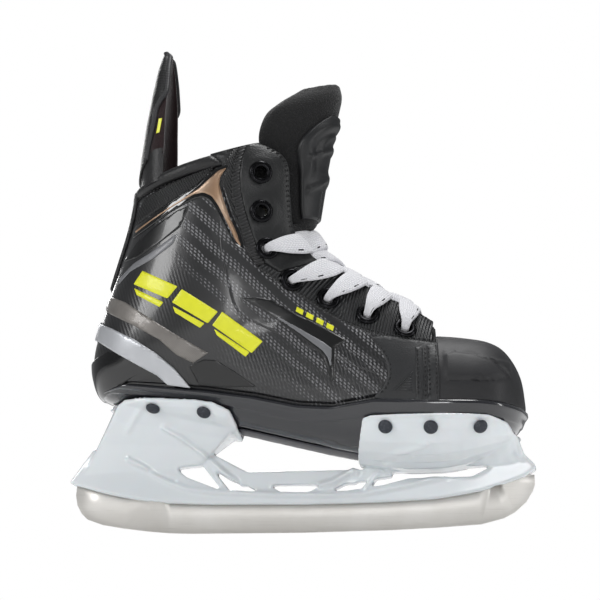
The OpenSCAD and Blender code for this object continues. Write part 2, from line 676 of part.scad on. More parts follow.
// Hand-set stops of the free end: place, and the direction its width lies in
tail_drop = [
    [[-34, 19.5, 104], [0.6, 0, -0.8]],
    [[-48, 17.5, 94], [0.5, -0.1, -0.85]],
    [[-61, 14, 87.5], [0.5, -0.45, -0.7]],
    [[-71, 9.5, 83], [0.35, -0.9, -0.2]],
    [[-77, 6.4, 80], [0, -1, 0]],
    [[-79, 5.3, 77.5], [0, -1, 0]],
    [[-75, 5.2, 75.5], [0, -1, 0]]
];
laced = [6, 5, 4, 3, 2];
low_lift = 2;
function lift_of(strand) = strand < 0 ? 4 : low_lift;
// One strand, from the middle of the front bar to where it leaves the tongue inside the boot
function strand(s) =
    let (e = eyelet_places, front = e[6])
    concat(
        sided([throat_stop(front[0], -0.6, 1.6)], s),
        sided(reversed(eyelet_out(front)), s),
        sided(under_across(front[0], e[5][0], lift_of(s)), s),
        [for (k = [1:4])
            let (side = k % 2 == 1 ? -s : s, here = e[laced[k]])
            let (next = k < 4 ? e[laced[k + 1]][0] : 3.25)
            each concat(
                sided(eyelet_out(here), side),
                sided(across(here[0], next, lift_of(s)), side)
            )],
        sided([
            skin_stop(3.35, 0.1, -lace_under, 6.5, lace_t),
            skin_stop(3.5, 0.2, -lace_under, 6.5, lace_t),
            skin_stop(3.65, 0.275, -lace_under - 1.5, 6.5, lace_t),
            skin_stop(3.8, 0.3, -lace_under - 5, lace_w, lace_t)
        ], -s)
    );
function tail_stops(side) =
    let (mouth = hank_line(hank_h - hank_pitch / 2)[0])
    let (stops = concat(tail_drop, [[[mouth[0] - 3.8, hank_y, mouth[1] + 0.6], [0, -1, 0]]]))
    [for (p = stops) let (stop = [p[0], p[1], lace_w, lace_t]) side > 0 ? stop : other_side(stop)];
lace_stops = concat(
    reversed(concat(strand(1), tail_stops(-1))),
    [throat_stop(eyelet_places[6][0], 0, 1.6)],
    concat(strand(-1), tail_stops(1))
);
tail_count = len(tail_drop) + 1;
function ring_at(p, ahead, side, w, h) =
    let (along = unit(ahead))
    let (wide = unit(side - (side * along) * along))
    let (thick = cross(along, wide))
    [for (a = [22.5:45:359])
        p + 0.5 * w * sign(cos(a)) * abs(cos(a)) ^ 0.6 * wide + 0.54 * h * sin(a) * thick];
function stop_at(stops, v) = [for (c = [0:3]) smooth_row([for (s = stops) s[c]], v)];
function ribbon(stops, first, end, per) =
    let (last = len(stops) - 1)
    [for (v = steps(first, end, (end - first) * per))
        let (s = stop_at(stops, v))
        let (a = stop_at(stops, max(v - 0.1, 0))[0], b = stop_at(stops, min(v + 0.1, last))[0])
        ring_at(s[0], b - a, s[1], s[2], s[3])];
module lace()
    color([0.93, 0.93, 0.92])
        tube(ribbon(lace_stops, tail_count, len(lace_stops) - 1 - tail_count, 2));

// The free end is folded into a hank
function hank_line(lift) =
    [for (v = steps(hank_v[0], hank_v[1], 10)) let (p = skin(v, 1, -hank_lift - lift)) [p[0], p[2]]];
// Half circle from p to q, its ends left out
function round_end(p, q) =
    let (c = (p + q) / 2, r = (p - q) / 2)
    [for (a = [15:15:165]) c + cos(a) * r + sin(a) * [r[1], -r[0]]];
module hank_outline(low, high, rounded)
    polygon(concat(
        low,
        rounded ? reversed(round_end(high[len(high) - 1], low[len(low) - 1])) : [],
        reversed(high),
        rounded ? reversed(round_end(low[0], high[0])) : []
    ));
module hank(y0, w, lift, h, a = 0, b = 10) {
    low = hank_line(lift);
    high = hank_line(lift + h);
    translate([0, y0 + w / 2, 0])
        rotate([90, 0, 0])
            linear_extrude(w)
                hank_outline([for (i = [a:b]) low[i]], [for (i = [a:b]) high[i]], a == 0);
}
module lace_hank_lateral() color([0.93, 0.93, 0.92]) hank(-hank_y, hank_w, 0, hank_h);
module lace_hank_medial() color([0.93, 0.93, 0.92]) hank(hank_y, hank_w, 0, hank_h);
module hank_tie(y0)
    difference() {
        hank(y0, hank_w + 1.6, -0.35, hank_h + 1.2, 5, 6);
        hank(y0, hank_w + 0.2, -0.1, hank_h + 0.2, 4, 7);
    }
module hank_tie_lateral() color([0.2, 0.2, 0.2]) hank_tie(-hank_y);
module hank_tie_medial() color([0.2, 0.2, 0.2]) hank_tie(hank_y);

module lace_tail_medial()
    color([0.93, 0.93, 0.92])
        tube(ribbon(lace_stops, len(lace_stops) - 1 - tail_count, len(lace_stops) - 1, 4));
module lace_tail_lateral()
    color([0.93, 0.93, 0.92])
        tube(ribbon(lace_stops, 0, tail_count, 4));

aglet_r = 1.6;
aglet_length = 18;
module aglet(side) {
    ends = hank_line(hank_h / 2);
    translate([ends[10][0] + hank_h / 2 - 0.2, side * hank_y, ends[10][1]])
        rotate([0, 82, 0])
            cylinder(r = aglet_r, h = aglet_length);
}
module aglet_lateral() color([0.9, 0.9, 0.9]) aglet(-1);
module aglet_medial() color([0.9, 0.9, 0.9]) aglet(1);

runner();
runner_bolts();
holder();
rivets_front();
rivets_rear();
rivet_washers();
outsole();
lasting_board();
footbed();
heel_overlay_lateral();
heel_overlay_medial();
quarter_lateral();
quarter_medial();
toe_cap();
toe_lining();
collar();
ankle_foam_lateral();
ankle_foam_medial();
liner_lateral();
liner_medial();
facing_lateral();
facing_medial();
eyelets_lateral();
eyelets_medial();
tongue_base();
tongue_felt();
tongue_guard();
tendon_guard();
tendon_guard_lining();
lace();
lace_tail_lateral();
lace_tail_medial();
lace_hank_lateral();
lace_hank_medial();
hank_tie_lateral();
hank_tie_medial();
aglet_lateral();
aglet_medial();
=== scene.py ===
"""Looks of a youth ice hockey skate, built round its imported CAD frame. Lengths are in millimetres
until a mesh is made."""

import json
import math

import bpy
import numpy as np
from mathutils import Matrix, Vector
from mathutils.geometry import delaunay_2d_cdt


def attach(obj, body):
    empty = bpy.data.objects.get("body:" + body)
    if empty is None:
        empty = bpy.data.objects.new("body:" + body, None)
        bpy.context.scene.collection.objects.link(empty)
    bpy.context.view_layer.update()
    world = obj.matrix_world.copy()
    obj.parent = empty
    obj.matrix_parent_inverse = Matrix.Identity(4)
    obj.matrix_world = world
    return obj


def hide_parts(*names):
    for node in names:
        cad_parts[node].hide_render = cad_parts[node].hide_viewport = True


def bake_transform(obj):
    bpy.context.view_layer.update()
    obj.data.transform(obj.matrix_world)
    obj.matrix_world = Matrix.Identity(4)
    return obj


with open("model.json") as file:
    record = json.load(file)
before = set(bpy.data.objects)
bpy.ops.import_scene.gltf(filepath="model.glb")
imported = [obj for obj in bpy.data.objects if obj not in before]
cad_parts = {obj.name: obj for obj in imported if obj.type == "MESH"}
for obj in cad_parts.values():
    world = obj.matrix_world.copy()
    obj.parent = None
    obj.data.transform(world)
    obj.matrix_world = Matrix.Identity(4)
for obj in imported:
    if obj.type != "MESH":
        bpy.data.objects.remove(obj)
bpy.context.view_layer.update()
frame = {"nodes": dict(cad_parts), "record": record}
nodes = frame["nodes"]
MM = 0.001
MIRROR = np.array([1, -1, 1])
# Millimetres to one step of v and to the whole of t, about, for outlines laid out on the surface
PLACE_SCALE = np.array([14.0, 110.0])
WELD_GAP = 0.02
SHELL_T = 1.9

# ---- The boot's surface, as in the CAD source ----

BOOT = np.array([
    [-18, 173.6, -74.8, 156.5, 31, 24, 0.45, 2.1, 1.6],
    [-5.5, 165, -76, 147, 31.5, 23.5, 0.45, 2.1, 1.6],
    [-3.8, 149, -78.6, 135, 31.8, 21.5, 0.45, 2.1, 1.6],
    [-2, 133, -83, 120, 32.5, 19.3, 0.45, 2.2, 1.6],
    [6, 122, -89, 101, 33.5, 17, 0.45, 2.3, 1.6],
    [13, 117.6, -94, 81, 33.5, 16, 0.45, 2.4, 1.6],
    [16, 116, -93.6, 69, 33, 15.4, 0.45, 2.5, 1.6],
    [18.5, 114.8, -89, 60, 32, 15, 0.45, 2.5, 1.6],
    [21, 113.6, -77, 56.2, 30.8, 14.7, 0.46, 2.5, 1.6],
    [24.5, 111.8, -58, 51.6, 29.8, 14.3, 0.48, 2.4, 1.6],
    [31, 108.2, -22, 43.2, 30.3, 13.4, 0.52, 2.4, 1.6],
    [39, 103.7, 13, 35, 32.8, 12.4, 0.56, 2.3, 1.6],
    [48.5, 99.3, 42, 30, 34.6, 11.3, 0.6, 2.3, 1.6],
    [60, 92.5, 61, 29.7, 34.8, 9, 0.6, 2.3, 1.6],
])
TOE = np.array([
    [60.6, 87.4, 61.6, 29.7, 34.8, 0, 0.56, 2.4, 2.2],
    [72, 86.4, 72, 31.2, 34, 0, 0.56, 2.4, 2.2],
    [84, 84.2, 84, 35.6, 31, 0, 0.56, 2.4, 2.2],
    [92, 79, 91.5, 39.8, 26, 0, 0.56, 2.4, 2.2],
    [98.2, 68, 97.4, 44.5, 15.5, 0, 0.55, 2.4, 2.2],
    [100.6, 53, 100.6, 52, 0.4, 0, 0.5, 2.4, 2.2],
])
TOE_V, TIP_V, WIDE_T = 13, 18, 0.42
WELT = np.array([
    [-95, 60], [-86, 63.5], [-78, 65], [-60, 63.2], [-40, 61], [-20, 58], [0, 53.6],
    [15, 52.4], [35, 55.3], [60, 54.4], [80, 54.4], [92, 53.6], [101, 52.5],
])
HEEL_PANEL = np.array([[-98, 84], [-80, 78], [-66, 72], [-55, 64], [-45, 56]])
EYELETS = [(1.25, 0.215), (2.35, 0.215), (3.5, 0.22), (5.55, 0.21), (9.2, 0.2), (10.7, 0.19), (12.02, 0.185)]
FACING_T = 2.8


def unit(a):
    return a / np.maximum(np.linalg.norm(a, axis=-1, keepdims=True), 1e-12)


def mix(a, b, f):
    return a + (b - a) * f


def smooth(a, b, x):
    f = np.clip((x - a) / (b - a), 0, 1)
    return f * f * (3 - 2 * f)


def smooth_row(table, v):
    v = np.asarray(v, float)
    i = np.clip(np.floor(v).astype(int), 0, len(table) - 2)
    rows = np.vstack([2 * table[0] - table[1], table, 2 * table[-1] - table[-2]])
    p0, p1, p2, p3 = rows[i], rows[i + 1], rows[i + 2], rows[i + 3]
    f = (v - i)[..., None]
    square, cube = 2 * p0 - 5 * p1 + 4 * p2 - p3, 3 * p1 - p0 - 3 * p2 + p3
    return 0.5 * (2 * p1 + (p2 - p0) * f + square * f**2 + cube * f**3)


def section_at(v):
    v = np.asarray(v, float)
    boot, toe = smooth_row(BOOT, np.minimum(v, TOE_V)), smooth_row(TOE, np.maximum(v - TOE_V, 0))
    return np.where((v < TOE_V)[..., None], boot, toe)


def skin_point(v, t):
    v, t = np.broadcast_arrays(np.asarray(v, float), np.asarray(t, float))
    s = np.moveaxis(section_at(v), -1, 0)
    upper = t < WIDE_T
    turn = math.pi / 2 * np.where(upper, 1 - t / WIDE_T, (t - WIDE_T) / (1 - WIDE_T))
    power = 2 / np.where(upper, s[8], s[7])
    rise = np.maximum(0, np.sin(turn)) ** power
    side = np.maximum(0, np.cos(turn)) ** power
    along = np.where(upper, s[6] * (1 - rise), mix(s[6], 1, rise))
    half = np.where(upper, mix(s[5], s[4], side), s[4] * side)
    return np.stack([mix(s[0], s[2], along), -half, mix(s[1], s[3], along)], -1)


def skin_normal(v, t):
    v, t = np.broadcast_arrays(np.asarray(v, float), np.asarray(t, float))
    low = np.where(v >= TOE_V, TOE_V, 0)
    high = np.where(v >= TOE_V, TIP_V, TOE_V - 0.001)
    across = skin_point(v, np.minimum(t + 0.01, 1)) - skin_point(v, np.maximum(t - 0.01, 0))
    across = np.where((t > 0.995)[..., None], np.array([0.0, 1, 0]), across)
    along = skin_point(np.minimum(v + 0.02, high), t) - skin_point(np.maximum(v - 0.02, low), t)
    return unit(np.cross(across, along))


def skin(v, t, d):
    return skin_point(v, t) + np.asarray(d, float)[..., None] * skin_normal(v, t)


def level(v, line, a=0.05):
    """The share of a section at which it drops under a line of heights."""
    v = np.asarray(v, float)
    lo, hi = np.full(v.shape, float(a)), np.ones(v.shape)
    for _ in range(18):
        m = (lo + hi) / 2
        p = skin_point(v, m)
        over = p[..., 2] > np.interp(p[..., 0], line[:, 0], line[:, 1])
        lo, hi = np.where(over, m, lo), np.where(over, hi, m)
    return (lo + hi) / 2


# ---- The side view, for pieces that are laid out as seen from there ----

AZIMUTH, ELEVATION = math.radians(5), math.radians(-10)
RIGHT = np.array([math.cos(AZIMUTH), math.sin(AZIMUTH), 0])
BACK = np.array([
    math.sin(AZIMUTH) * math.cos(ELEVATION), -math.cos(AZIMUTH) * math.cos(ELEVATION), math.sin(ELEVATION),
])
UP = np.cross(BACK, RIGHT)


def side_view(p):
    return np.stack([p @ RIGHT, p @ UP], -1)


def seen_places():
    """Places all over the outer side of the boot, and where the side view shows them."""
    v, t = np.meshgrid(np.linspace(0, 17.6, 353), np.linspace(0.02, 0.97, 191), indexing="ij")
    v, t = v.ravel(), t.ravel()
    facing = skin_normal(v, t) @ BACK > 0.03
    v, t = v[facing], t[facing]
    return v, t, side_view(skin_point(v, t))


SEEN = seen_places()
FOUND = {}


def from_side(points):
    """The places on the outer side of the boot that are seen at these points of the side view."""
    points = np.asarray(points, float)
    key = points.tobytes()
    if key in FOUND:
        return FOUND[key]
    v, t, seen = SEEN
    out = np.array([[v[k], t[k]] for k in (np.argmin(((seen - p) ** 2).sum(1)) for p in points)])
    for _ in range(4):
        v, t = out[:, 0], out[:, 1]
        here = side_view(skin_point(v, t))
        dv = (side_view(skin_point(v + 0.01, t)) - here) / 0.01
        dt = (side_view(skin_point(v, t + 0.002)) - here) / 0.002
        det = dv[:, 0] * dt[:, 1] - dv[:, 1] * dt[:, 0]
        det = np.where(np.abs(det) < 1, 1e9, det)
        e = points - here
        step_v = (e[:, 0] * dt[:, 1] - e[:, 1] * dt[:, 0]) / det
        step_t = (dv[:, 0] * e[:, 1] - dv[:, 1] * e[:, 0]) / det
        step = np.stack([step_v, step_t], 1)
        out = out + np.clip(step, [-0.1, -0.02], [0.1, 0.02])
        out = np.clip(out, [0, 0.01], [17.9, 0.99])
    FOUND[key] = out
    return out


# ---- Meshes ----

def mesh_piece(name, points, faces, material, body, uvs=None, slot=None, replaces=(), sharp=40):
    """A piece from points in millimetres; uvs are one pair for each point."""
    mesh = bpy.data.meshes.new(name)
    mesh.from_pydata((np.asarray(points, float) * MM).tolist(), [], [[int(k) for k in f] for f in faces])
    if uvs is not None:
        layer = mesh.uv_layers.new(name="UVMap")
        corner = np.zeros(len(mesh.loops), int)
        mesh.loops.foreach_get("vertex_index", corner)
        layer.data.foreach_set("uv", (np.asarray(uvs, float)[corner] * MM).ravel())
    mesh.shade_smooth()
    if sharp:
        mesh.set_sharp_from_angle(angle=math.radians(sharp))
    mesh.materials.append(material)
    piece = bpy.data.objects.new(name, mesh)
    bpy.context.scene.collection.objects.link(piece)
    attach(piece, body)
    if replaces:
        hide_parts(*replaces)
    return piece


def grid_faces(rows, cols, start=0, around=False):
    faces = []
    for i in range(rows - 1):
        for j in range(cols if around else cols - 1):
            a, b = start + i * cols + j, start + i * cols + (j + 1) % cols
            faces.append((a, b, b + cols, a + cols))
    return faces


def lengths(grid):
    """Arc lengths of a grid of points, along its rows and its columns."""
    u = np.zeros(grid.shape[:2])
    w = np.zeros(grid.shape[:2])
    u[1:] = np.cumsum(np.linalg.norm(np.diff(grid, axis=0), axis=-1), axis=0)
    w[:, 1:] = np.cumsum(np.linalg.norm(np.diff(grid, axis=1), axis=-1), axis=1)
    return u, w


def rim_drop(grid, radius):
    """How far a rounded rim falls below the face of a grid."""
    u, w = lengths(grid)
    far = np.minimum(np.minimum(u, u[-1:] - u), np.minimum(w, w[:, -1:] - w))
    x = np.clip(1 - far / radius, 0, 1)
    return radius * (1 - np.sqrt(1 - x * x))


def slab(name, top, bottom, material, body, **kw):
    """A closed piece between two grids of points."""
    rows, cols = top.shape[:2]
    size = rows * cols
    edge = list(range(cols)) + [i * cols + cols - 1 for i in range(1, rows)]
    edge += [(rows - 1) * cols + j for j in range(cols - 2, -1, -1)] + [i * cols for i in range(rows - 2, 0, -1)]
    faces = grid_faces(rows, cols)
    faces += [(f[3] + size, f[2] + size, f[1] + size, f[0] + size) for f in faces]
    for k, a in enumerate(edge):
        b = edge[(k + 1) % len(edge)]
        faces.append((a, a + size, b + size, b))
    points = np.concatenate([top.reshape(-1, 3), bottom.reshape(-1, 3)])
    if signed_volume(points, faces) < 0:
        faces = [f[::-1] for f in faces]
    u, w = lengths(top)
    uv = np.stack([u.ravel(), w.ravel()], 1)
    return mesh_piece(name, points, faces, material, body, uvs=np.concatenate([uv, uv]), **kw)


def signed_volume(points, faces):
    p = points - points.mean(0)
    total = 0.0
    for sides in {len(f) for f in faces}:
        group = np.array([f for f in faces if len(f) == sides])
        for k in range(1, sides - 1):
            total += (np.cross(p[group[:, 0]], p[group[:, k]]) * p[group[:, k + 1]]).sum()
    return total


def dense(a, b, count, edge=0.02):
    """Steps from a to b with a few more close to each end."""
    near = np.array([0, 0.15, 0.4, 0.75]) * edge
    f = np.concatenate([near, np.linspace(edge * 1.3, 1 - edge * 1.3, count), 1 - near[::-1]])
    return mix(a, b, f)


def shell(name, v, t, d_out, d_in, material, body, edge=0.6, height=None, fold=None, side=-1, **kw):
    """A slab that follows the boot's surface. v and t are grids of places, fold carries it over the middle."""
    outer = skin(v, t, np.zeros(v.shape))
    drop = rim_drop(outer, edge) if edge else 0
    if fold == "sole":
        drop = rim_drop(np.concatenate([outer, outer[:, -2::-1] * MIRROR], 1), edge)[:, : v.shape[1]]
    if fold == "top":
        drop = rim_drop(np.concatenate([outer[:, ::-1] * MIRROR, outer[:, 1:]], 1), edge)[:, v.shape[1] - 1:]
    lift = height(v, t) if height else 0
    point = skin_top if fold == "top" else skin
    top = point(v, t, d_out + lift - drop)
    bottom = point(v, t, np.full(v.shape, float(d_in)))
    if fold == "sole":
        top, bottom = (np.concatenate([g, g[:, -2::-1] * MIRROR], 1) for g in (top, bottom))
    if fold == "top":
        top, bottom = (np.concatenate([g[:, ::-1], g[:, 1:] * MIRROR], 1) for g in (top, bottom))
    if side > 0:
        top, bottom = top * MIRROR, bottom * MIRROR
    return slab(name, top, bottom, material, body, **kw)


def skin_top(v, t, d):
    """As skin, but on the middle line of the toe the surface faces straight up and forwards."""
    p, n = skin_point(v, t), skin_normal(v, np.maximum(t, 0.03))
    middle = (t < 0.001)[..., None]
    n = np.where(middle, unit(n * [1, 0, 1]), n)
    return np.where(middle, p * [1, 0, 1], p) + np.asarray(d)[..., None] * n


def outline_steps(loop, step, closed=True):
    out = []
    for k in range(len(loop) if closed else len(loop) - 1):
        a, b = np.array(loop[k], float), np.array(loop[(k + 1) % len(loop)], float)
        n = max(1, int(math.ceil(np.linalg.norm(b - a) / step)))
        out += [mix(a, b, i / n) for i in range(n)]
    return np.array(out if closed else out + [np.array(loop[-1], float)])


def rounded(loop, radius):
    """A closed outline with its corners rounded."""
    out, n = [], len(loop)
    for k in range(n):
        a, b, c = (np.array(loop[(k + i) % n], float) for i in (-1, 0, 1))
        la, lc = np.linalg.norm(a - b), np.linalg.norm(c - b)
        r = min(radius, la * 0.45, lc * 0.45)
        p, q = b + (a - b) / la * r, b + (c - b) / lc * r
        out += [mix(mix(p, b, f), mix(b, q, f), f) for f in (0, 0.25, 0.5, 0.75, 1)]
    return out


def patch(name, loop, d, thick, material, body="boot", side=-1, seen=True, holes=(), tail=(), step=1.4, height=None,
        rim_fall=0.75, **kw):
    """A thin piece on the boot inside a closed outline, given in the side view or as places on the surface.
    tail goes on with places on the surface, and holes are (place v, place t, radius)."""
    places = from_side(outline_steps(loop, step, closed=not len(tail))) if seen else np.array(loop)
    if len(tail):
        places = np.concatenate([places, np.array(tail, float)])
    flat = outline_steps(places * PLACE_SCALE, step * 1.5)
    rings = []
    for hv, ht, r in holes:
        c = np.array([hv, ht])
        dv = np.linalg.norm(skin_point(hv + 0.02, ht) - skin_point(hv - 0.02, ht)) / 0.04
        dt = np.linalg.norm(skin_point(hv, ht + 0.005) - skin_point(hv, ht - 0.005)) / 0.01
        a = np.linspace(0, 2 * math.pi, 25)[:-1]
        rings.append(np.stack([(c[0] + np.cos(a) * r / dv) * PLACE_SCALE[0], (c[1] + np.sin(a) * r / dt) * PLACE_SCALE[1]], 1))
    lo, hi = flat.min(0), flat.max(0)
    gx, gy = np.meshgrid(np.arange(lo[0], hi[0], step), np.arange(lo[1], hi[1], step * 0.87), indexing="ij")
    gx = gx + (np.arange(gx.shape[1]) % 2) * step / 2
    inner = np.stack([gx.ravel(), gy.ravel()], 1)
    edge_all = np.concatenate([flat, *rings]) if rings else flat
    far = edge_distance(inner, flat)
    keep = inside(inner, flat) & (far > step * 0.45)
    for r in rings:
        keep &= ~inside(inner, r) & (edge_distance(inner, r) > step * 0.45)
    inner = inner[keep]
    near = mix(flat, inward(flat), 0.4)
    near = near[inside(near, flat) & (edge_distance(near, flat) > 0.2)]
    points = [Vector(p) for p in np.concatenate([edge_all, near, inner])]
    edges, faces, at = [], [list(range(len(flat)))], 0
    for ring in [flat, *rings]:
        edges += [(at + k, at + (k + 1) % len(ring)) for k in range(len(ring))]
        at += len(ring)
    vs, _, tris, _, _, _ = delaunay_2d_cdt(points, edges, faces, 1, 1e-5)
    flat_points = np.array([list(p) for p in vs])
    mid = np.array([flat_points[list(f)].mean(0) for f in tris])
    good = np.ones(len(tris), bool)
    for r in rings:
        good &= ~inside(mid, r)
    tris = [f for f, g in zip(tris, good) if g]
    rim = np.min([edge_distance(flat_points, r) for r in [flat, *rings]], 0) < 1e-3
    place = flat_points / PLACE_SCALE
    v, t = place[:, 0], place[:, 1]
    lift = np.where(rim, d - thick * rim_fall, d)
    if height:
        lift = lift + np.where(rim, 0, height(v, t))
    top = skin(v, t, lift)
    n = len(top)
    bottom = skin(v, t, np.full(n, d - thick))
    count = {}
    for f in tris:
        for k in range(3):
            e = (f[k], f[(k + 1) % 3])
            count[e] = count.get(e, 0) + 1
    walls = [(a, b) for (a, b) in count if (b, a) not in count]
    faces = [tuple(f) for f in tris] + [tuple(k + n for k in f[::-1]) for f in tris]
    faces += [(b, a, a + n, b + n) for a, b in walls]
    points = np.concatenate([top, bottom])
    if side > 0:
        points = points * MIRROR
    if signed_volume(points, faces) < 0:
        faces = [f[::-1] for f in faces]
    uv = np.concatenate([flat_points, flat_points])
    return mesh_piece(name, points, faces, material, body, uvs=uv, sharp=0, **kw)


def inward(loop):
    a, b = np.roll(loop, 1, 0), np.roll(loop, -1, 0)
    t = unit(b - a)
    n = np.stack([-t[:, 1], t[:, 0]], 1)
    area = np.sum(loop[:, 0] * np.roll(loop[:, 1], -1) - loop[:, 1] * np.roll(loop[:, 0], -1))
    return loop + n * (1 if area > 0 else -1)


def inside(p, loop):
    a, b = loop, np.roll(loop, -1, 0)
    y = p[:, 1][:, None]
    cross = (a[:, 1] > y) != (b[:, 1] > y)
    x = a[:, 0] + (y - a[:, 1]) / np.where(b[:, 1] == a[:, 1], 1e-9, b[:, 1] - a[:, 1]) * (b[:, 0] - a[:, 0])
    return (np.sum(cross & (p[:, 0][:, None] < x), 1) % 2) == 1


def edge_distance(p, loop):
    a, b = loop, np.roll(loop, -1, 0)
    ab = b - a
    f = np.clip(((p[:, None] - a) * ab).sum(-1) / np.maximum((ab * ab).sum(-1), 1e-12), 0, 1)
    return np.linalg.norm(p[:, None] - (a + f[..., None] * ab), axis=-1).min(1)


def ring_tube(name, path, side, w, h, material, body, power=0.7, count=12, **kw):
    """A tube with an oval section w wide along side and h thick."""
    path, side = np.asarray(path, float), np.asarray(side, float)
    w, h = np.broadcast_to(w, len(path)), np.broadcast_to(h, len(path))
    along = unit(np.gradient(path, axis=0))
    wide = unit(side - (side * along).sum(-1, keepdims=True) * along)
    thick = np.cross(along, wide)
    a = np.linspace(0, 2 * math.pi, count, endpoint=False) + math.pi / count
    x = 0.5 * np.sign(np.cos(a)) * np.abs(np.cos(a)) ** power
    y = 0.5 * np.sign(np.sin(a)) * np.abs(np.sin(a)) ** power
    rings = path[:, None] + (x * w[:, None])[..., None] * wide[:, None]
    rings = rings + (y * h[:, None])[..., None] * thick[:, None]
    n, m = len(path), count
    faces = grid_faces(n, m, around=True)
    faces += [tuple(range(m))[::-1], tuple((n - 1) * m + k for k in range(m))]
    points = rings.reshape(-1, 3)
    if signed_volume(points, faces) < 0:
        faces = [f[::-1] for f in faces]
    u = np.concatenate([[0], np.cumsum(np.linalg.norm(np.diff(path, axis=0), axis=1))])
    uv = np.stack([np.repeat(u, m), np.tile(x * 8, n)], 1)
    return mesh_piece(name, points, faces, material, body, uvs=uv, sharp=0, **kw)


# ---- Materials ----

class Value:
    """A number that shader nodes work out, put together with + - * / and named operations."""

    def __init__(self, tree, socket):
        self.tree, self.socket = tree, socket

    def op(self, name, *others, clamp=False):
        node = self.tree.nodes.new("ShaderNodeMath")
        node.operation, node.use_clamp = name, clamp
        for k, x in enumerate((self, *others)):
            if isinstance(x, Value):
                self.tree.links.new(x.socket, node.inputs[k])
            else:
                node.inputs[k].default_value = x
        return Value(self.tree, node.outputs[0])

    def __add__(self, x):
        return self.op("ADD", x)

    def __sub__(self, x):
        return self.op("SUBTRACT", x)

    def __mul__(self, x):
        return self.op("MULTIPLY", x)

    def __truediv__(self, x):
        return self.op("DIVIDE", x)

    def wave(self, period):
        """From 0 to 1 and back in each period."""
        return (self * (2 * math.pi / period)).op("SINE") * 0.5 + 0.5

    def step(self, a, b):
        """0 below a, 1 above b, smooth between."""
        node = self.tree.nodes.new("ShaderNodeMapRange")
        node.interpolation_type = "SMOOTHSTEP"
        self.tree.links.new(self.socket, node.inputs["Value"])
        flip = a > b
        node.inputs["From Min"].default_value, node.inputs["From Max"].default_value = (b, a) if flip else (a, b)
        node.inputs["To Min"].default_value, node.inputs["To Max"].default_value = (1, 0) if flip else (0, 1)
        return Value(self.tree, node.outputs["Result"])


def rgb(code):
    """A colour from its usual six digits."""
    c = [int(code[k:k + 2], 16) / 255 for k in (0, 2, 4)]
    return [x / 12.92 if x <= 0.04045 else ((x + 0.055) / 1.055) ** 2.4 for x in c] + [1]


class Look:
    """A material and what it needs to be put together."""

    def __init__(self, name, color, rough, metal=0.0, coat=0.0, sheen=0.0, spec=0.5, coat_rough=0.06):
        self.material = bpy.data.materials.new(name)
        self.material.use_nodes = True
        self.tree = self.material.node_tree
        self.shader = next(n for n in self.tree.nodes if n.type == "BSDF_PRINCIPLED")
        self.base = rgb(color)
        put = self.shader.inputs
        put["Base Color"].default_value = self.base
        put["Roughness"].default_value = rough
        put["Metallic"].default_value = metal
        put["Coat Weight"].default_value = coat
        put["Coat Roughness"].default_value = coat_rough
        put["Sheen Weight"].default_value = sheen
        put["Sheen Roughness"].default_value = 0.4
        put["Specular IOR Level"].default_value = spec
        self.color_socket = None
        self.normal_socket = None

    def node(self, kind):
        return self.tree.nodes.new(kind)

    def scaled_place(self, factors, into, uv=False):
        """Links a socket to the surface's place, or to its two lengths, times three factors."""
        coord, scale = self.node("ShaderNodeTexCoord"), self.node("ShaderNodeVectorMath")
        scale.operation = "MULTIPLY"
        scale.inputs[1].default_value = factors
        self.tree.links.new(coord.outputs["UV" if uv else "Object"], scale.inputs[0])
        self.tree.links.new(scale.outputs[0], into)

    def place(self, uv=False):
        """The surface's x, y and z in millimetres, or its two lengths on a piece that has them."""
        parts = self.node("ShaderNodeSeparateXYZ")
        self.scaled_place((1 / MM,) * 3, parts.inputs[0], uv)
        return [Value(self.tree, parts.outputs[k]) for k in range(3)]

    def noise(self, size, stretch=(1, 1, 1), detail=3.0, uv=False):
        """Noise from 0 to 1 whose grains are about size millimetres."""
        noise = self.node("ShaderNodeTexNoise")
        self.scaled_place(tuple(1000 / size / s for s in stretch), noise.inputs["Vector"], uv)
        noise.inputs["Scale"].default_value = 1
        noise.inputs["Detail"].default_value = detail
        return Value(self.tree, noise.outputs["Fac"])

    def cells(self, size):
        """Rounded cells from 0 to 1 that are about size millimetres across."""
        cells = self.node("ShaderNodeTexVoronoi")
        self.scaled_place((1000 / size,) * 3, cells.inputs["Vector"])
        cells.inputs["Scale"].default_value = 1
        return Value(self.tree, cells.outputs["Distance"])

    def tint(self, share, color):
        """Mixes a colour in by share."""
        node = self.node("ShaderNodeMix")
        node.data_type = "RGBA"
        self.tree.links.new(share.socket, node.inputs["Factor"])
        if self.color_socket:
            self.tree.links.new(self.color_socket, node.inputs["A"])
        else:
            node.inputs["A"].default_value = self.base
        node.inputs["B"].default_value = rgb(color)
        self.color_socket = node.outputs["Result"]
        self.tree.links.new(self.color_socket, self.shader.inputs["Base Color"])
        return self

    def rough(self, share, low, high):
        value = (share * (high - low)) + low
        self.tree.links.new(value.socket, self.shader.inputs["Roughness"])
        return self

    def bump(self, height, depth, strength=1.0):
        """Raises the surface by depth millimetres where height is 1."""
        node = self.node("ShaderNodeBump")
        node.inputs["Strength"].default_value = strength
        node.inputs["Distance"].default_value = depth * MM
        self.tree.links.new(height.socket, node.inputs["Height"])
        if self.normal_socket:
            self.tree.links.new(self.normal_socket, node.inputs["Normal"])
        self.normal_socket = node.outputs["Normal"]
        self.tree.links.new(self.normal_socket, self.shader.inputs["Normal"])
        return self


def diagonal(x, z, degrees):
    """Lengths along and across a direction in the side view."""
    c, s = math.cos(math.radians(degrees)), math.sin(math.radians(degrees))
    return x * c + z * s, x * -s + z * c


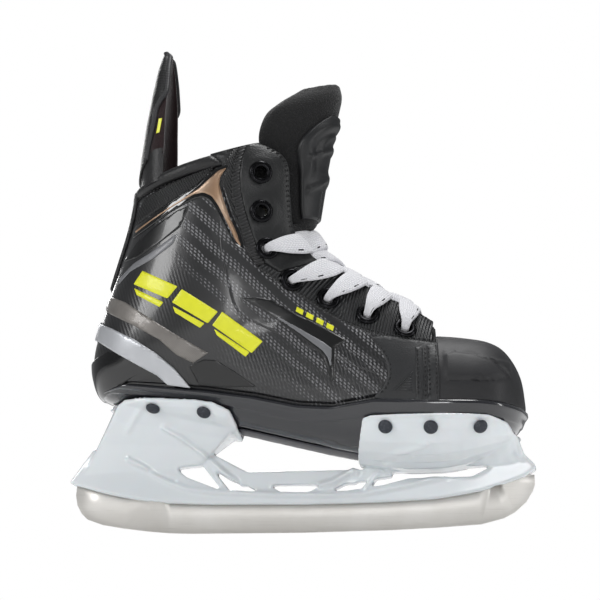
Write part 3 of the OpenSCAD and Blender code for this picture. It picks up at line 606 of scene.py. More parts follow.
def make_looks():
    looks = {}

    k = Look("steel_look", "e2dfda", 0.5, metal=0.62)
    grind = k.noise(1, stretch=(14, 1, 0.35), detail=4)
    cloud = k.noise(16, detail=3)
    k.tint(cloud.step(0.35, 0.75) * 0.4, "f2f0ed").tint(grind.step(0.55, 0.85) * 0.3, "a5a19b")
    k.rough(grind, 0.4, 0.52).bump(grind, 0.02)
    looks["steel"] = k

    k = Look("zinc_look", "b4b4b8", 0.35, metal=1)
    k.rough(k.noise(1.5), 0.25, 0.5)
    looks["zinc"] = k

    k = Look("holder_look", "dde2e5", 0.2, coat=0.5)
    k.tint(k.noise(30).step(0.35, 0.7) * 0.35, "d3d9dd").rough(k.noise(9), 0.14, 0.26).bump(k.noise(7, detail=1), 0.05)
    k.shader.inputs["Subsurface Weight"].default_value = 0.08
    k.shader.inputs["Subsurface Scale"].default_value = 0.003
    looks["holder_plastic"] = k

    k = Look("rivet_look", "3a3d43", 0.38, metal=0.6)
    k.tint(k.noise(0.8).step(0.5, 0.8) * 0.5, "63666d").bump(k.noise(0.6), 0.05)
    looks["rivet"] = k

    k = Look("washer_look", "a58a55", 0.4, metal=1)
    k.rough(k.noise(2), 0.3, 0.55)
    looks["washer"] = k

    k = Look("outsole_look", "202126", 0.25, coat=1, coat_rough=0.08)
    k.tint(k.noise(22).step(0.3, 0.75) * 0.5, "15161a").rough(k.noise(6), 0.16, 0.3).bump(k.noise(5, detail=2), 0.05)
    looks["outsole_plastic"] = k

    k = Look("sole_grain_look", "26262d", 0.4)
    x, y, _ = k.place()
    net = (x + y).wave(0.9) * (x - y).wave(0.9)
    # The raised net is tinted lighter: painted highlight on the net
    k.tint(net.step(0.3, 0.8) * 0.6, "404049").bump(net, 0.12)
    looks["sole_grain"] = k

    k = Look("board_look", "8a6d4a", 0.8)
    k.tint(k.noise(3).step(0.4, 0.7), "75593a").bump(k.noise(0.8), 0.1)
    looks["board"] = k

    k = Look("footbed_look", "1a1a1c", 0.9, sheen=0.3)
    k.tint(k.noise(1.2).step(0.4, 0.7) * 0.6, "28282b").bump(k.noise(0.7), 0.25)
    looks["footbed_felt"] = k

    # The shell: a twill with bands of brighter yarn that run down and forwards, under a clear film. The bright dots
    # are kept to a band across the middle of the side: partly yarn, partly painted highlight
    k = Look("quarter_look", "19191a", 0.34, coat=0.45, coat_rough=0.12)
    x, _, z = k.place()
    soft = k.noise(9, detail=2)
    along, across = diagonal(x, z, -42)
    across = across + soft * 1.6
    dots = (along + across * 0.8).wave(2.3) * across.wave(1.25)
    bands = across.wave(7.4).step(0.2, 0.8)
    _, steep_across = diagonal(x, z, -72)
    lines = (steep_across + soft * 0.8).wave(1.5)
    grain = k.noise(0.7, detail=2)
    middle = (x + z * 0.9).step(44, 70) * (x + z * 0.9).step(150, 118)
    low = z.step(92, 78) * x.step(-44, -22)
    heel = x.step(-40, -52) * z.step(122, 108)
    # Bright dots only in the middle band: partly the yarn, partly painted highlight
    yarn_and_painted_highlight = dots * bands * middle * grain.step(0.25, 0.5)
    k.tint(k.noise(14).step(0.3, 0.7) * 0.7, "232325")
    k.tint(lines * (low + heel * 0.6) * 0.55, "070707")
    k.tint(yarn_and_painted_highlight.step(0.08, 0.5), "77777a")
    k.tint(lines * dots * low * 0.7, "48484b")
    k.bump(dots * bands * middle + lines * (low + heel * 0.5) * 0.6, 0.16).bump(grain, 0.04)
    looks["quarter_weave"] = k

    k = Look("gloss_black_look", "050506", 0.12, coat=0.7)
    k.rough(k.noise(8), 0.08, 0.2).bump(k.noise(11, detail=1), 0.12)
    looks["gloss_black"] = k

    k = Look("silver_look", "b9bbbf", 0.4, metal=0.45)
    k.tint(k.noise(20, stretch=(1, 1, 3)).step(0.35, 0.7), "d9dadd").rough(k.noise(3), 0.32, 0.42).bump(k.noise(0.5), 0.02)
    looks["silver"] = k

    k = Look("warm_grey_look", "77736f", 0.36, metal=0.35, coat=0.3)
    x, _, z = k.place()
    fine = (x + z).wave(0.8)
    k.tint((x * 0.85 - z * 0.5).step(-96, -78) * fine * 0.4, "4c4946").tint(k.noise(12).step(0.4, 0.7) * 0.4, "8d8984")
    k.bump(fine, 0.03)
    looks["warm_grey"] = k

    k = Look("champagne_look", "9d8068", 0.36, metal=0.8)
    k.tint(k.noise(9, stretch=(1, 1, 2)).step(0.4, 0.75), "cdb5a0").rough(k.noise(4), 0.32, 0.42)
    looks["champagne"] = k

    k = Look("rib_patch_look", "0b0b0c", 0.45)
    x, _, z = k.place()
    _, across = diagonal(x, z, -62)
    ribs = across.wave(1.1)
    # Rib tops tinted lighter: painted highlight on the ribs
    k.tint(ribs.step(0.5, 0.9) * 0.7, "202022").bump(ribs, 0.3)
    looks["rib_patch"] = k

    k = Look("yellow_look", "dfe01e", 0.42, coat=0.15)
    k.tint(k.noise(6).step(0.4, 0.7) * 0.25, "c9cb16").bump(k.noise(0.6), 0.03)
    looks["yellow"] = k

    k = Look("print_black_look", "070708", 0.3, coat=0.3)
    k.rough(k.noise(5), 0.22, 0.4)
    looks["print_black"] = k

    k = Look("print_grey_look", "6c6d70", 0.4, coat=0.2)
    k.tint(k.noise(7).step(0.4, 0.7) * 0.4, "808185")
    looks["print_grey"] = k

    k = Look("charcoal_look", "1b1c1e", 0.5)
    k.tint(k.noise(10).step(0.35, 0.7) * 0.6, "222325").bump(k.cells(0.9), 0.06).bump(k.noise(0.5), 0.03)
    looks["charcoal"] = k

    k = Look("toe_look", "1a1a1c", 0.55)
    k.tint(k.noise(16).step(0.3, 0.7) * 0.6, "212124").tint(k.noise(0.7).step(0.62, 0.8) * 0.3, "2d2d30")
    k.rough(k.noise(7), 0.48, 0.62).bump(k.noise(0.55, detail=4), 0.07)
    looks["toe_plastic"] = k

    k = Look("lining_look", "121011", 0.95, sheen=0.4)
    k.tint(k.noise(1).step(0.4, 0.7) * 0.6, "1f1c1e").bump(k.noise(0.6, detail=4), 0.3)
    looks["lining_felt"] = k

    k = Look("collar_look", "0f0f10", 0.46, sheen=0.05)
    k.tint(k.noise(12).step(0.35, 0.7) * 0.6, "18181a").bump(k.cells(0.8), 0.1).bump(k.noise(0.5), 0.04)
    looks["collar_vinyl"] = k

    k = Look("foam_look", "c9c2a8", 0.9)
    k.bump(k.cells(1.1), 0.3)
    looks["foam"] = k

    k = Look("facing_look", "101112", 0.44)
    k.tint(k.noise(12).step(0.35, 0.7) * 0.6, "191a1b").bump(k.cells(0.8), 0.08).bump(k.noise(0.5), 0.04)
    looks["facing_vinyl"] = k

    k = Look("facing_rib_look", "0f1011", 0.42)
    x, _, z = k.place()
    _, across = diagonal(x, z, 52)
    _, across2 = diagonal(x, z, 80)
    front = x.step(14, 26)
    ribs = across.wave(1.7) * (front * -1 + 1) + across2.wave(1.35) * front
    # Rib tops tinted lighter: painted highlight on the ribs; the dark speckle is the vinyl's own
    k.tint(ribs.step(0.45, 0.9) * 0.75, "2d2e30").tint(k.noise(0.8).step(0.55, 0.75) * 0.3, "070708").bump(ribs, 0.38)
    looks["facing_rib"] = k

    k = Look("seam_look", "0b0b0c", 0.5)
    x, _, z = k.place()
    _, across = diagonal(x, z, 20)
    hatch = across.wave(1.5)
    # Hatch ridges tinted lighter: painted highlight on the ridges
    k.tint(hatch.step(0.6, 0.9) * 0.6, "2f2f31").bump(hatch, 0.3)
    looks["seam"] = k

    k = Look("thread_look", "070708", 0.6)
    k.tint(k.noise(0.5).step(0.4, 0.7) * 0.6, "242426")
    looks["thread"] = k

    k = Look("eyelet_look", "1a1a1c", 0.22, metal=0.9)
    k.rough(k.noise(1.4), 0.12, 0.4).bump(k.noise(2.2, detail=1), 0.06)
    looks["eyelet_metal"] = k

    k = Look("tongue_felt_look", "0a0a0b", 0.95, sheen=0.25)
    k.tint(k.noise(0.9, detail=5).step(0.45, 0.75) * 0.55, "1a1a1b").bump(k.noise(0.7, detail=5), 0.5).bump(k.noise(0.25), 0.15)
    looks["tongue_felt"] = k

    k = Look("guard_look", "121315", 0.46)
    k.tint(k.noise(9).step(0.4, 0.75) * 0.5, "1a1b1e").bump(k.noise(0.6), 0.06)
    looks["guard_plastic"] = k

    k = Look("tendon_look", "0e0e0f", 0.5)
    x, _, z = k.place()
    ribs = (z + x * 0.2).wave(1.4)
    # Rib tops tinted lighter in patches: painted highlight on the ribs
    k.tint(ribs * k.noise(7).step(0.4, 0.7) * 0.5, "1d1d1f").bump(ribs, 0.1).bump(k.cells(0.8), 0.06)
    looks["guard_fabric"] = k

    k = Look("binding_look", "242426", 0.5)
    _, _, z = k.place()
    # Rib tops tinted lighter: painted highlight on the ribs
    k.tint(z.wave(0.9).step(0.5, 0.9) * 0.4, "3c3c3f").bump(z.wave(0.9), 0.1)
    looks["binding"] = k

    k = Look("maroon_look", "1a070a", 0.95, sheen=0.35)
    k.tint(k.noise(1.2).step(0.4, 0.7) * 0.6, "260e11").bump(k.noise(0.6, detail=4), 0.35)
    looks["maroon_lining"] = k

    # The lace: a flat braid, its lengths run along it and across it
    k = Look("lace_look", "ebebee", 0.85, sheen=0.3)
    u, w, _ = k.place(uv=True)
    braid = (u + w.op("ABSOLUTE") * 0.9).wave(1.5) * w.wave(0.8)
    cords = w.wave(0.8)
    # Grey in the braid's low grooves: painted shade
    k.tint(braid.step(0.5, 0.05) * 0.35, "a9a9b1").tint(k.noise(2.5).step(0.45, 0.75) * 0.25, "cfcfd6")
    dash = u.wave(8).step(0.72, 0.78) * (w.op("ABSOLUTE") - 2.9).op("ABSOLUTE").step(0.32, 0.22) * w.step(0.1, 0.2)
    k.tint(dash * k.noise(14, uv=True).step(0.47, 0.5), "1b1b1d")
    k.bump(braid * 0.6 + cords * 0.4, 0.22).bump(k.noise(0.5), 0.08)
    looks["lace_white"] = k

    k = Look("tie_look", "0f0f0f", 0.7)
    k.bump(k.noise(0.8), 0.1)
    looks["tie_rubber"] = k

    k = Look("aglet_look", "e4e4e4", 0.15, coat=0.5)
    k.rough(k.noise(1.5), 0.1, 0.25)
    looks["aglet_plastic"] = k
    return looks


looks = make_looks()
mat = {name: look.material for name, look in looks.items()}


# ---- Frame nodes that show as they are, with their edges softened ----

record_slots = {part["node"]: part["material_slot"] for part in frame["record"]["subparts"]}
for node_name, node_object in nodes.items():
    node_object.data.materials.clear()
    node_object.data.materials.append(mat[record_slots[node_name]])
    weld = node_object.modifiers.new("weld", "WELD")
    weld.merge_threshold = WELD_GAP * MM
    node_object.data.shade_smooth()
    node_object.data.set_sharp_from_angle(angle=math.radians(35))


def evaluated_copy(name, source, steps):
    """A new mesh from a CAD node after some modifiers, each (kind, settings)."""
    copy = bpy.data.objects.new(name, source.data.copy())
    bpy.context.scene.collection.objects.link(copy)
    for kind, settings in steps:
        modifier = copy.modifiers.new(kind, kind)
        for key, value in settings.items():
            setattr(modifier, key, value)
    bpy.context.view_layer.update()
    mesh = bpy.data.meshes.new_from_object(copy.evaluated_get(bpy.context.evaluated_depsgraph_get()))
    copy.modifiers.clear()
    copy.data = mesh
    mesh.shade_smooth()
    return copy


def softened(node_name, piece_name, voxel, rounds, body="boot"):
    """Stands for a CAD node, with fillets where its parts meet."""
    piece = evaluated_copy(piece_name, nodes[node_name], [
        ("WELD", {"merge_threshold": WELD_GAP * MM}),
        ("REMESH", {"mode": "VOXEL", "voxel_size": voxel * MM}),
        ("SMOOTH", {"factor": 0.6, "iterations": rounds}),
    ])
    piece.data.materials.clear()
    piece.data.materials.append(mat[record_slots[node_name]])
    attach(piece, body)
    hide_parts(node_name)
    return piece


def to_lines(p, lines):
    """The distance from each point to the nearest of some lines, in one plane."""
    far = np.full(len(p), 1e9)
    for line in lines:
        for a, b in zip(line[:-1], line[1:]):
            a, b = np.array(a, float), np.array(b, float)
            f = np.clip((p - a) @ (b - a) / max((b - a) @ (b - a), 1e-9), 0, 1)
            far = np.minimum(far, np.linalg.norm(p - (a + f[:, None] * (b - a)), axis=1))
    return far


FLANGES = [
    [(-92, 50), (-88.5, 56), (-84, 59.5), (-70, 60.3), (-45, 58.3), (-33, 56), (-28.5, 52), (-27, 46), (-26.5, 38)],
    [(24, 26), (25, 40), (28, 47), (33, 48.5), (60, 48.5), (84, 48.5), (91, 46.5), (95, 42), (97, 34)],
]
HOLDER_RIDGES = [
    ([(-62, 47), (-54, 42.5), (-45.6, 36), (-37.2, 28.4), (-30, 22.4)], 1.2, 1.7),
    ([(-78, 32.4), (-72, 29.4), (-65, 24.9), (-58, 21.6), (-51.1, 19.3), (-40, 17.9), (-10, 16.8), (15, 17),
      (27.3, 17.6), (45.7, 21.2), (62.7, 25.4), (74, 29.6)], 1.2, 1.5),
    ([(-68.5, 27.3), (-63, 24.8), (-57.5, 22.8)], 0.9, -0.9),
    ([(-8, 19), (4, 20.4), (13.1, 22.6), (28.7, 31.1), (41.5, 36.1), (54, 41)], 1.3, 1.8),
    ([(28, 20), (34, 27), (41, 32.4), (48, 35)], 1.1, 1.2),
    ([(-71, 57), (-75, 51), (-78.6, 45)], 1.4, 0.6),
]


def holder_relief(p, n):
    """Ridges, a lip along the flanges and a swell on each pedestal."""
    q = np.stack([p[:, 0], -np.abs(p[:, 1]), p[:, 2]], 1)
    seen = side_view(q)
    facing = np.clip(np.abs(n[:, 1]) * 1.4 - 0.35, 0, 1)
    out = np.zeros(len(p))
    for line, width, height in HOLDER_RIDGES:
        out = out + height * np.exp(-((to_lines(seen, [line]) / width) ** 2))
    out = np.minimum(out, 1.9)
    lip = to_lines(p[:, [0, 2]], FLANGES)
    rim = 0.5 * np.exp(-(((lip - 0.9) / 0.8) ** 2)) - 0.3 * np.exp(-(((lip - 3) / 1.2) ** 2))
    out = out + rim * smooth(-84, -80, p[:, 0])
    swell = np.linalg.norm((seen - [56.3, 37]) / [1.25, 1], axis=1)
    out = out + 2.2 * smooth(13, 2, swell)
    swell = np.linalg.norm((seen - [-66, 40]) / [1.5, 1], axis=1)
    return (out + 0.5 * smooth(14, 3, swell)) * facing


def raised(piece, height):
    """Moves a piece's surface along its normals by height(points, normals), in millimetres."""
    mesh = piece.data
    p, n = np.zeros(len(mesh.vertices) * 3), np.zeros(len(mesh.vertices) * 3)
    mesh.vertices.foreach_get("co", p)
    mesh.vertices.foreach_get("normal", n)
    p, n = p.reshape(-1, 3) / MM, n.reshape(-1, 3)
    mesh.vertices.foreach_set("co", ((p + n * height(p, n)[:, None]) * MM).ravel())
    mesh.update()


raised(softened("holder", "holder_body", 0.58, 9), holder_relief)


def quilted(p, n):
    """Soft swells between the lines of stitching of the lining, on its inner face."""
    inner = smooth(0.2, 0.7, -n[:, 1] * np.sign(p[:, 1]))
    lines = np.abs(np.sin(np.pi * (p[:, 2] + 0.35 * p[:, 0]) / 16)) ** 0.6
    return inner * (0.45 * lines - 0.25)


def worn(p, n):
    """A footbed pressed a little by the foot."""
    up = smooth(0.3, 0.8, n[:, 2])
    return up * (0.18 * np.sin(p[:, 0] / 9.0) * np.sin(p[:, 1] / 6.0 + 1) - 0.15)


for side_name in ("lateral", "medial"):
    raised(softened(f"liner_{side_name}", f"inner_lining_{side_name}", 0.62, 4), quilted)
footbed_pad = softened("footbed", "footbed_pad", 0.7, 5)
raised(footbed_pad, worn)

# ---- The shell ----

PANEL_EDGE = 0.362
SIDES = {"lateral": -1, "medial": 1}


def welt_share(v):
    return np.where(v < 6.7, 1.0, level(v, WELT))


def quarter_grid():
    v = np.concatenate([dense(0.74, 5.5, 30, 0.01), np.linspace(5.6, 7.8, 26), np.linspace(7.9, 12.97, 56)])
    low = np.minimum(welt_share(v) + 0.02, 0.999)
    t = PANEL_EDGE + (low - PANEL_EDGE)[:, None] * dense(0, 1, 44, 0.012)[None]
    return np.broadcast_to(v[:, None], t.shape), t


def quarter_sink(v, t):
    """Below the welt the shell runs down inside the outsole."""
    under = smooth(-0.03, 0.0, t - welt_share(v))
    return np.where(v > 6.2, -2.4 * under * np.clip((v - 6.2) / 0.6, 0, 1), 0)


for side_name, side in SIDES.items():
    v, t = quarter_grid()
    shell(
        f"shell_{side_name}", v, t, 0, -SHELL_T, mat["quarter_weave"], "boot", edge=0.5, height=quarter_sink,
        side=side, slot="quarter_weave", replaces=[f"quarter_{side_name}"],
    )


def heel_height(v, t):
    """A swell, and a seat that sinks under the outsole's rear end."""
    seat = smooth(6.75, 7.3, v) * smooth(-0.04, 0.0, t - welt_share(v))
    return 0.25 * smooth(0, 0.1, t - level(v, HEEL_PANEL)) - 1.6 * seat


for side_name, side in SIDES.items():
    v = dense(5.35, 8.5, 46, 0.01)
    low = np.where(v < 7.0, 1.0, np.minimum(welt_share(v) + 0.02, 1))
    high = np.minimum(level(v, HEEL_PANEL), low - 0.02)
    t = high[:, None] + (low - high)[:, None] * dense(0, 1, 34, 0.02)[None]
    shell(
        f"heel_panel_{side_name}", np.broadcast_to(v[:, None], t.shape), t, 0.85, -0.1, mat["gloss_black"], "boot",
        edge=0.4, height=heel_height, side=side, slot="gloss_black", replaces=[f"heel_overlay_{side_name}"],
    )

# ---- Toe cap and outsole ----


def line_height(v, t, lines, width, depth):
    """A groove or ridge along lines of the side view."""
    far = to_lines(side_view(skin_point(v, t)).reshape(-1, 2), lines)
    return (depth * np.exp(-((far / width) ** 2))).reshape(v.shape)


TOE_FACET = [(63.5, 80.6), (67, 81.4), (76, 80.2), (84, 76.8), (89.5, 72.4), (91.5, 69.6)]
TOE_LINE = [(63.5, 69.4), (74, 69), (84, 69.2), (91.5, 69.6)]


def toe_relief(v, t):
    seen = side_view(skin_point(v, t))
    under_arch = smooth(82.5, 80.8, seen[..., 1] + np.maximum(seen[..., 0] - 70, 0) * 0.25)
    facet = smooth(68.4, 70, seen[..., 1]) * under_arch
    facet = facet * smooth(62, 63.6, seen[..., 0]) * smooth(93, 91, seen[..., 0])
    return 0.8 * facet + line_height(v, t, [TOE_FACET, TOE_LINE], 0.55, -0.9)


v = dense(TOE_V + 0.01, TIP_V - 0.1, 56, 0.006)
low = level(v, WELT, 0) + 0.005
t = low[:, None] * np.concatenate([np.linspace(0, 0.97, 46), [0.985, 0.995, 1]])[None]
shell(
    "toe_cap_shell", np.broadcast_to(v[:, None], t.shape), t, 0, -SHELL_T, mat["toe_plastic"], "boot", edge=0.8,
    height=toe_relief, fold="top", slot="toe_plastic", replaces=["toe_cap"],
)


def sole_relief(v, t):
    """A rounded lip under the welt, and a step lower down."""
    top = level(v, WELT)
    a, b = skin_point(v, top), skin_point(v, t)
    drop = np.linalg.norm((a - b)[..., [0, 2]], axis=-1)
    lip = 0.75 * np.exp(-(((drop - 1.7) / 1.5) ** 2))
    step = -0.45 * smooth(6.5, 7.3, drop) * smooth(19, 16, drop)
    panel = -0.35 * smooth(0.86, 0.875, t) * smooth(9.6, 9.75, v) * smooth(11.6, 11.45, v)
    return lip + step + panel


v = np.concatenate([dense(6.82, 12.75, 80, 0.004), dense(TOE_V + 0.1, TIP_V - 0.08, 50, 0.01)])
top_t = level(v, WELT)
share = np.concatenate([[0, 0.006, 0.015, 0.028], np.linspace(0.045, 1, 46)])
t = top_t[:, None] + (1 - top_t)[:, None] * share[None]
shell(
    "outsole_shell", np.broadcast_to(v[:, None], t.shape), t, 0.5, -2.1, mat["outsole_plastic"], "boot", edge=0.7,
    height=sole_relief, fold="sole", slot="outsole_plastic", replaces=["outsole"],
)
patch(
    "sole_panel", [(9.85, 0.885), (11.4, 0.875), (11.5, 0.93), (11.4, 0.995), (9.85, 0.995), (9.75, 0.94)], 0.5, 0.4,
    mat["sole_grain"], seen=False, slot="outsole_plastic",
)

# ---- Collar ----


def collar_puff(v, t):
    return 1.1 * np.sin(np.pi * np.clip((v - 0.02) / 0.68, 0, 1)) ** 0.7


v = dense(0.02, 0.7, 16, 0.05)
t = np.concatenate([dense(PANEL_EDGE - 0.02, 0.5, 10, 0.03)[:-4], np.linspace(0.5, 1, 40)])
v, t = np.meshgrid(v, t, indexing="ij")
collar_pad = shell(
    "collar_pad", v, t, 0.3, -7.15, mat["collar_vinyl"], "boot", edge=2.6,
    height=collar_puff, fold="sole", slot="collar_vinyl", replaces=["collar"],
)

# ---- Pieces laid on the shell, on both sides ----

SILVER = [
    (-92.6, 86), (-83.1, 80.5), (-72.1, 74.6), (-64.6, 70.8), (-59.9, 66.6), (-49.8, 65.2), (-57, 73.8),
    (-64.6, 80.1), (-74.7, 86.4), (-84.8, 91), (-90.5, 93),
]
SILVER_TAIL = [(4.3, 0.93), (4.28, 1.0), (4.64, 1.0), (4.68, 0.93)]
WARM = [
    (-88, 98.4), (-74.7, 92.3), (-63.7, 86.4), (-56.1, 79.7), (-48.6, 75.9), (-41.8, 80.5), (-55.3, 88.1),
    (-66.2, 94.8), (-78.9, 102.8), (-86.2, 105.4),
]
WARM_TAIL = [(3.66, 0.93), (3.64, 1.0), (3.98, 1.0), (4.0, 0.93)]
THIN = [
    (-83, 110.5), (-77.2, 116.7), (-66.3, 122.6), (-57.4, 129.3), (-56.3, 133.5), (-67.9, 125.1), (-75.5, 120.5),
    (-82, 114),
]
INSERT = [
    (-33.8, 163.1), (-36.8, 158.8), (-37.2, 155.4), (-35.5, 149.5), (-32.6, 141.1), (-29.2, 133.5), (-27.4, 127.6),
    (-29.6, 129.8), (-33.4, 137.7), (-37.6, 146.1), (-40.6, 150.4), (-44.4, 151.9), (-48.6, 151), (-57.8, 145.7),
    (-67.9, 139), (-75, 133.9), (-74.3, 135.4), (-62, 143.6), (-53.6, 149), (-46, 153.9), (-41.8, 157.9),
    (-37.6, 161.7),
]
BEZEL = [
    (-32.4, 164.6), (-35.4, 158.9), (-35.8, 155.4), (-34.1, 149.9), (-31.3, 141.7), (-27.9, 134), (-25.8, 126),
    (-30.4, 128), (-34.9, 137), (-39, 145), (-41.6, 148.6), (-45.2, 149.8), (-49, 148.8), (-58.5, 143.6),
    (-68.6, 136.6), (-76.5, 131.4), (-76, 136.4), (-62.6, 145.2), (-54.2, 150.6), (-46.8, 155.4), (-43, 159.2),
    (-38.6, 163.2),
]
RIB_PATCH = [(-39.2, 164), (-48.6, 160.6), (-62, 155.2), (-70.5, 150), (-75, 143), (-75.5, 137.5), (-62.6, 145.6),
    (-54.2, 151), (-46.8, 155.8), (-43, 159.6)]
REAR_DARK = [(-80.6, 121), (-74.7, 130), (-66, 137.2), (-56.1, 144), (-50.5, 146.2), (-54.6, 136.5), (-66, 128),
    (-74.5, 122.8)]
HOLLOW_DARK = [(-50.3, 74.6), (-44, 77.6), (-38, 77.3), (-30, 72.4), (-20.5, 65.6), (-34, 65.2), (-46, 66.2)]
ARROW = [
    (-27.5, 104.8), (-20, 105.2), (-13.6, 104.1), (-4.3, 98.7), (7.2, 93.3), (19.7, 86.1), (14.6, 82.8),
    (13.9, 68.9), (12.6, 68), (9, 78.5), (6.5, 81.8), (-1.1, 87.6), (-9, 93), (-17, 98.8),
]
ARROW_GREY = [(-14, 97.5), (-8, 95.2), (-1, 91.2), (10, 84.9), (13.2, 82.4), (12.9, 72), (11, 78.4), (8.8, 81.4),
    (-1.1, 88.8), (-8, 93.4)]
VAMP = [
    (29.5, 87.5), (34.7, 81.3), (37.2, 75.5), (37.6, 71), (35.4, 66), (31, 61), (36, 60), (49, 59.6), (60, 59.2),
    (60, 84.8), (42.7, 87.4), (36, 88.2),
]
STRIP_A = [(49.6, 83), (53.1, 83.4), (53.3, 59.4), (49.6, 59.4)]
STRIP_B = [(54.6, 83.6), (60, 84.6), (60, 59.2), (54.8, 59.2)]
SEAM = [
    (-28.6, 172), (-31, 165), (-32, 157), (-31.6, 149), (-29, 140), (-26, 130), (-23.4, 124), (-20.5, 119),
    (-16.6, 120.2), (-20, 127), (-22.8, 135), (-25.6, 144), (-27.4, 152), (-28, 160), (-26.8, 168), (-25, 173),
]
PANEL = [
    (-25.4, 173), (-27, 168), (-28.2, 160), (-27.6, 152), (-25.8, 144), (-23, 135), (-20.2, 127), (-16.6, 120.4),
    (-10, 116.5),
]
PANEL_TAIL = [(4.35, 0.02), (3.6, 0.02), (3, 0.02), (2.2, 0.02), (1.4, 0.02), (0.7, 0.02), (0.2, 0.03), (0.06, 0.12),
    (0.04, 0.2), (0.05, 0.27)]
RIBBED = [
    (-11, 116.5), (-17, 120), (-21, 118.6), (-10, 110.6), (0, 104.6), (10, 98), (20, 92.8), (30, 89), (45, 85.8),
    (59.3, 84.4),
]
RIBBED_TAIL = [(12.96, 0.2), (12.96, 0.02), (12, 0.02), (11, 0.02), (10, 0.02), (9, 0.02), (8, 0.02), (7, 0.02),
    (6, 0.02), (5, 0.02), (4.45, 0.02)]
THROAT_DARK = [
    (-28.4, 172), (-30.6, 165), (-31.4, 157), (-31, 149), (-28.4, 140), (-25.4, 130), (-22.8, 124), (-21, 119),
    (-25, 124), (-27.4, 133), (-31, 141.7), (-33.8, 149.9), (-35.5, 155.4), (-35.2, 158.9), (-33.4, 163), (-34.5, 166),
    (-31, 171.6),
]
WEAVE = [
    (-28.6, 171), (-31, 165), (-32, 157), (-31.6, 149), (-29, 140), (-26, 130), (-23.4, 124), (-20, 119),
    (-10, 111.6), (0, 105.6), (10, 99), (20, 93.8), (30, 90), (45, 86.8), (59.3, 85.4),
]
WEAVE_TAIL = [(v, 0.372) for v in (12.93, 12, 11, 10, 9, 8, 7, 6, 5, 4, 3, 2, 1.2, 0.76)]
ACCENTS = [
    [(-75.5, 111), (-60, 104.6), (-55.5, 110), (-71.5, 117)],
    [(-74, 106.2), (-63.5, 100.8), (-61.8, 103), (-75.2, 109.2)],
    [(-58, 103), (-42, 93.6), (-37.5, 98.8), (-53.6, 108.8)],
    [(-56.6, 98.4), (-45.4, 91.6), (-43.4, 93.6), (-57.6, 101.2)],
    [(-40, 92.8), (-22.5, 80.4), (-17.6, 85.6), (-35.6, 98.8)],
    [(-38, 88.4), (-25.2, 78.8), (-23.4, 80.8), (-39.2, 91.2)],
]
TICKS = [[(x, 101.2 - (x + 3) * 0.53), (x + 3.1, 99.5 - (x + 3) * 0.53), (x + 2.5, 97.4 - (x + 3) * 0.53),
    (x - 0.6, 99.1 - (x + 3) * 0.53)] for x in (-2.5, 2, 6.5, 11)]


def eyelet_holes(first, last, r=3.7):
    return [(v, t, r) for v, t in EYELETS[first:last]]


def dome(v, t):
    """The panel swells round its three eyelets."""
    out = np.zeros(v.shape)
    for ev, et in EYELETS[:3]:
        far = np.linalg.norm(skin_point(v, t) - skin_point(np.array(ev), np.array(et)), axis=-1)
        out = out + 0.35 * smooth(9.5, 6, far)
    return np.minimum(out, 0.35)


REAR_TAB = [(0.3, 0.885), (1.2, 0.885), (2.4, 0.915), (3.2, 0.95), (3.5, 0.975), (3.55, 1.0), (0.3, 1.0)]
for tab_name, side in (("rear_tab", -1), ("rear_tab_inner", 1)):
    patch(tab_name, REAR_TAB, 1.75, 1.7, mat["collar_vinyl"], side=side, seen=False, slot="collar_vinyl", rim_fall=0.5)
for side_name, side in SIDES.items():
    def lay(name, loop, d, thick, look, slot, r=0.8, **kw):
        patch(f"{name}_{side_name}", rounded(loop, r) if r else loop, d, thick, mat[look], side=side, slot=slot, **kw)

    lay("stripe_silver", SILVER, 1.4, 1.3, "silver", "quarter_weave", r=0, tail=SILVER_TAIL, rim_fall=0.22)
    lay("stripe_warm", WARM, 0.45, 0.4, "warm_grey", "quarter_weave", r=0, tail=WARM_TAIL)
    lay("stripe_thin", THIN, 0.4, 0.35, "print_grey", "quarter_weave", r=1)
    lay("rear_dark", REAR_DARK, 0.35, 0.3, "print_black", "quarter_weave")
    lay("hollow_dark", HOLLOW_DARK, 0.3, 0.25, "print_black", "quarter_weave")
    lay("shell_top", WEAVE, 0.28, 0.26, "quarter_weave", "quarter_weave", r=0, tail=WEAVE_TAIL)
    lay("throat_dark", THROAT_DARK, 0.45, 0.4, "rib_patch", "quarter_weave", r=0)
    lay("bezel", BEZEL, 0.6, 0.55, "gloss_black", "quarter_weave", r=1.5, rim_fall=0.4)
    lay("insert", INSERT, 1.05, 0.8, "champagne", "quarter_weave", r=1, rim_fall=0.45)
    lay("rib_patch", RIB_PATCH, 0.45, 0.4, "rib_patch", "quarter_weave")
    lay("arrow", ARROW, 0.5, 0.45, "print_black", "quarter_weave", r=0.6)
    lay("arrow_grey", ARROW_GREY, 0.65, 0.3, "print_grey", "quarter_weave", r=0.4)
    lay("vamp_panel", VAMP, 0.5, 0.45, "charcoal", "quarter_weave", r=1.5)
    lay("strip_rear", STRIP_A, 0.85, 0.6, "charcoal", "quarter_weave", r=0.5)
    lay("strip_front", STRIP_B, 0.95, 0.7, "charcoal", "quarter_weave", r=0.5)
    lay("seam_strip", SEAM, 0.6, 0.6, "seam", "facing_vinyl", r=0.6)
    lay("eyelet_panel", PANEL, 0.55, 0.5, "facing_vinyl", "facing_vinyl", r=0, tail=PANEL_TAIL,
        holes=eyelet_holes(0, 3), height=dome)
    lay("lace_panel", RIBBED, 0.5, 0.45, "facing_rib", "facing_vinyl", r=0, tail=RIBBED_TAIL, holes=eyelet_holes(3, 7))
    for k, loop in enumerate(ACCENTS):
        lay(f"accent_{k}", loop, 0.32, 0.2, "yellow", "quarter_weave", r=0.5, step=1.8)
    for k, loop in enumerate(TICKS):
        lay(f"tick_{k}", loop, 0.75, 0.3, "yellow", "quarter_weave", r=0.2, step=1.2)

# ---- Stitches ----


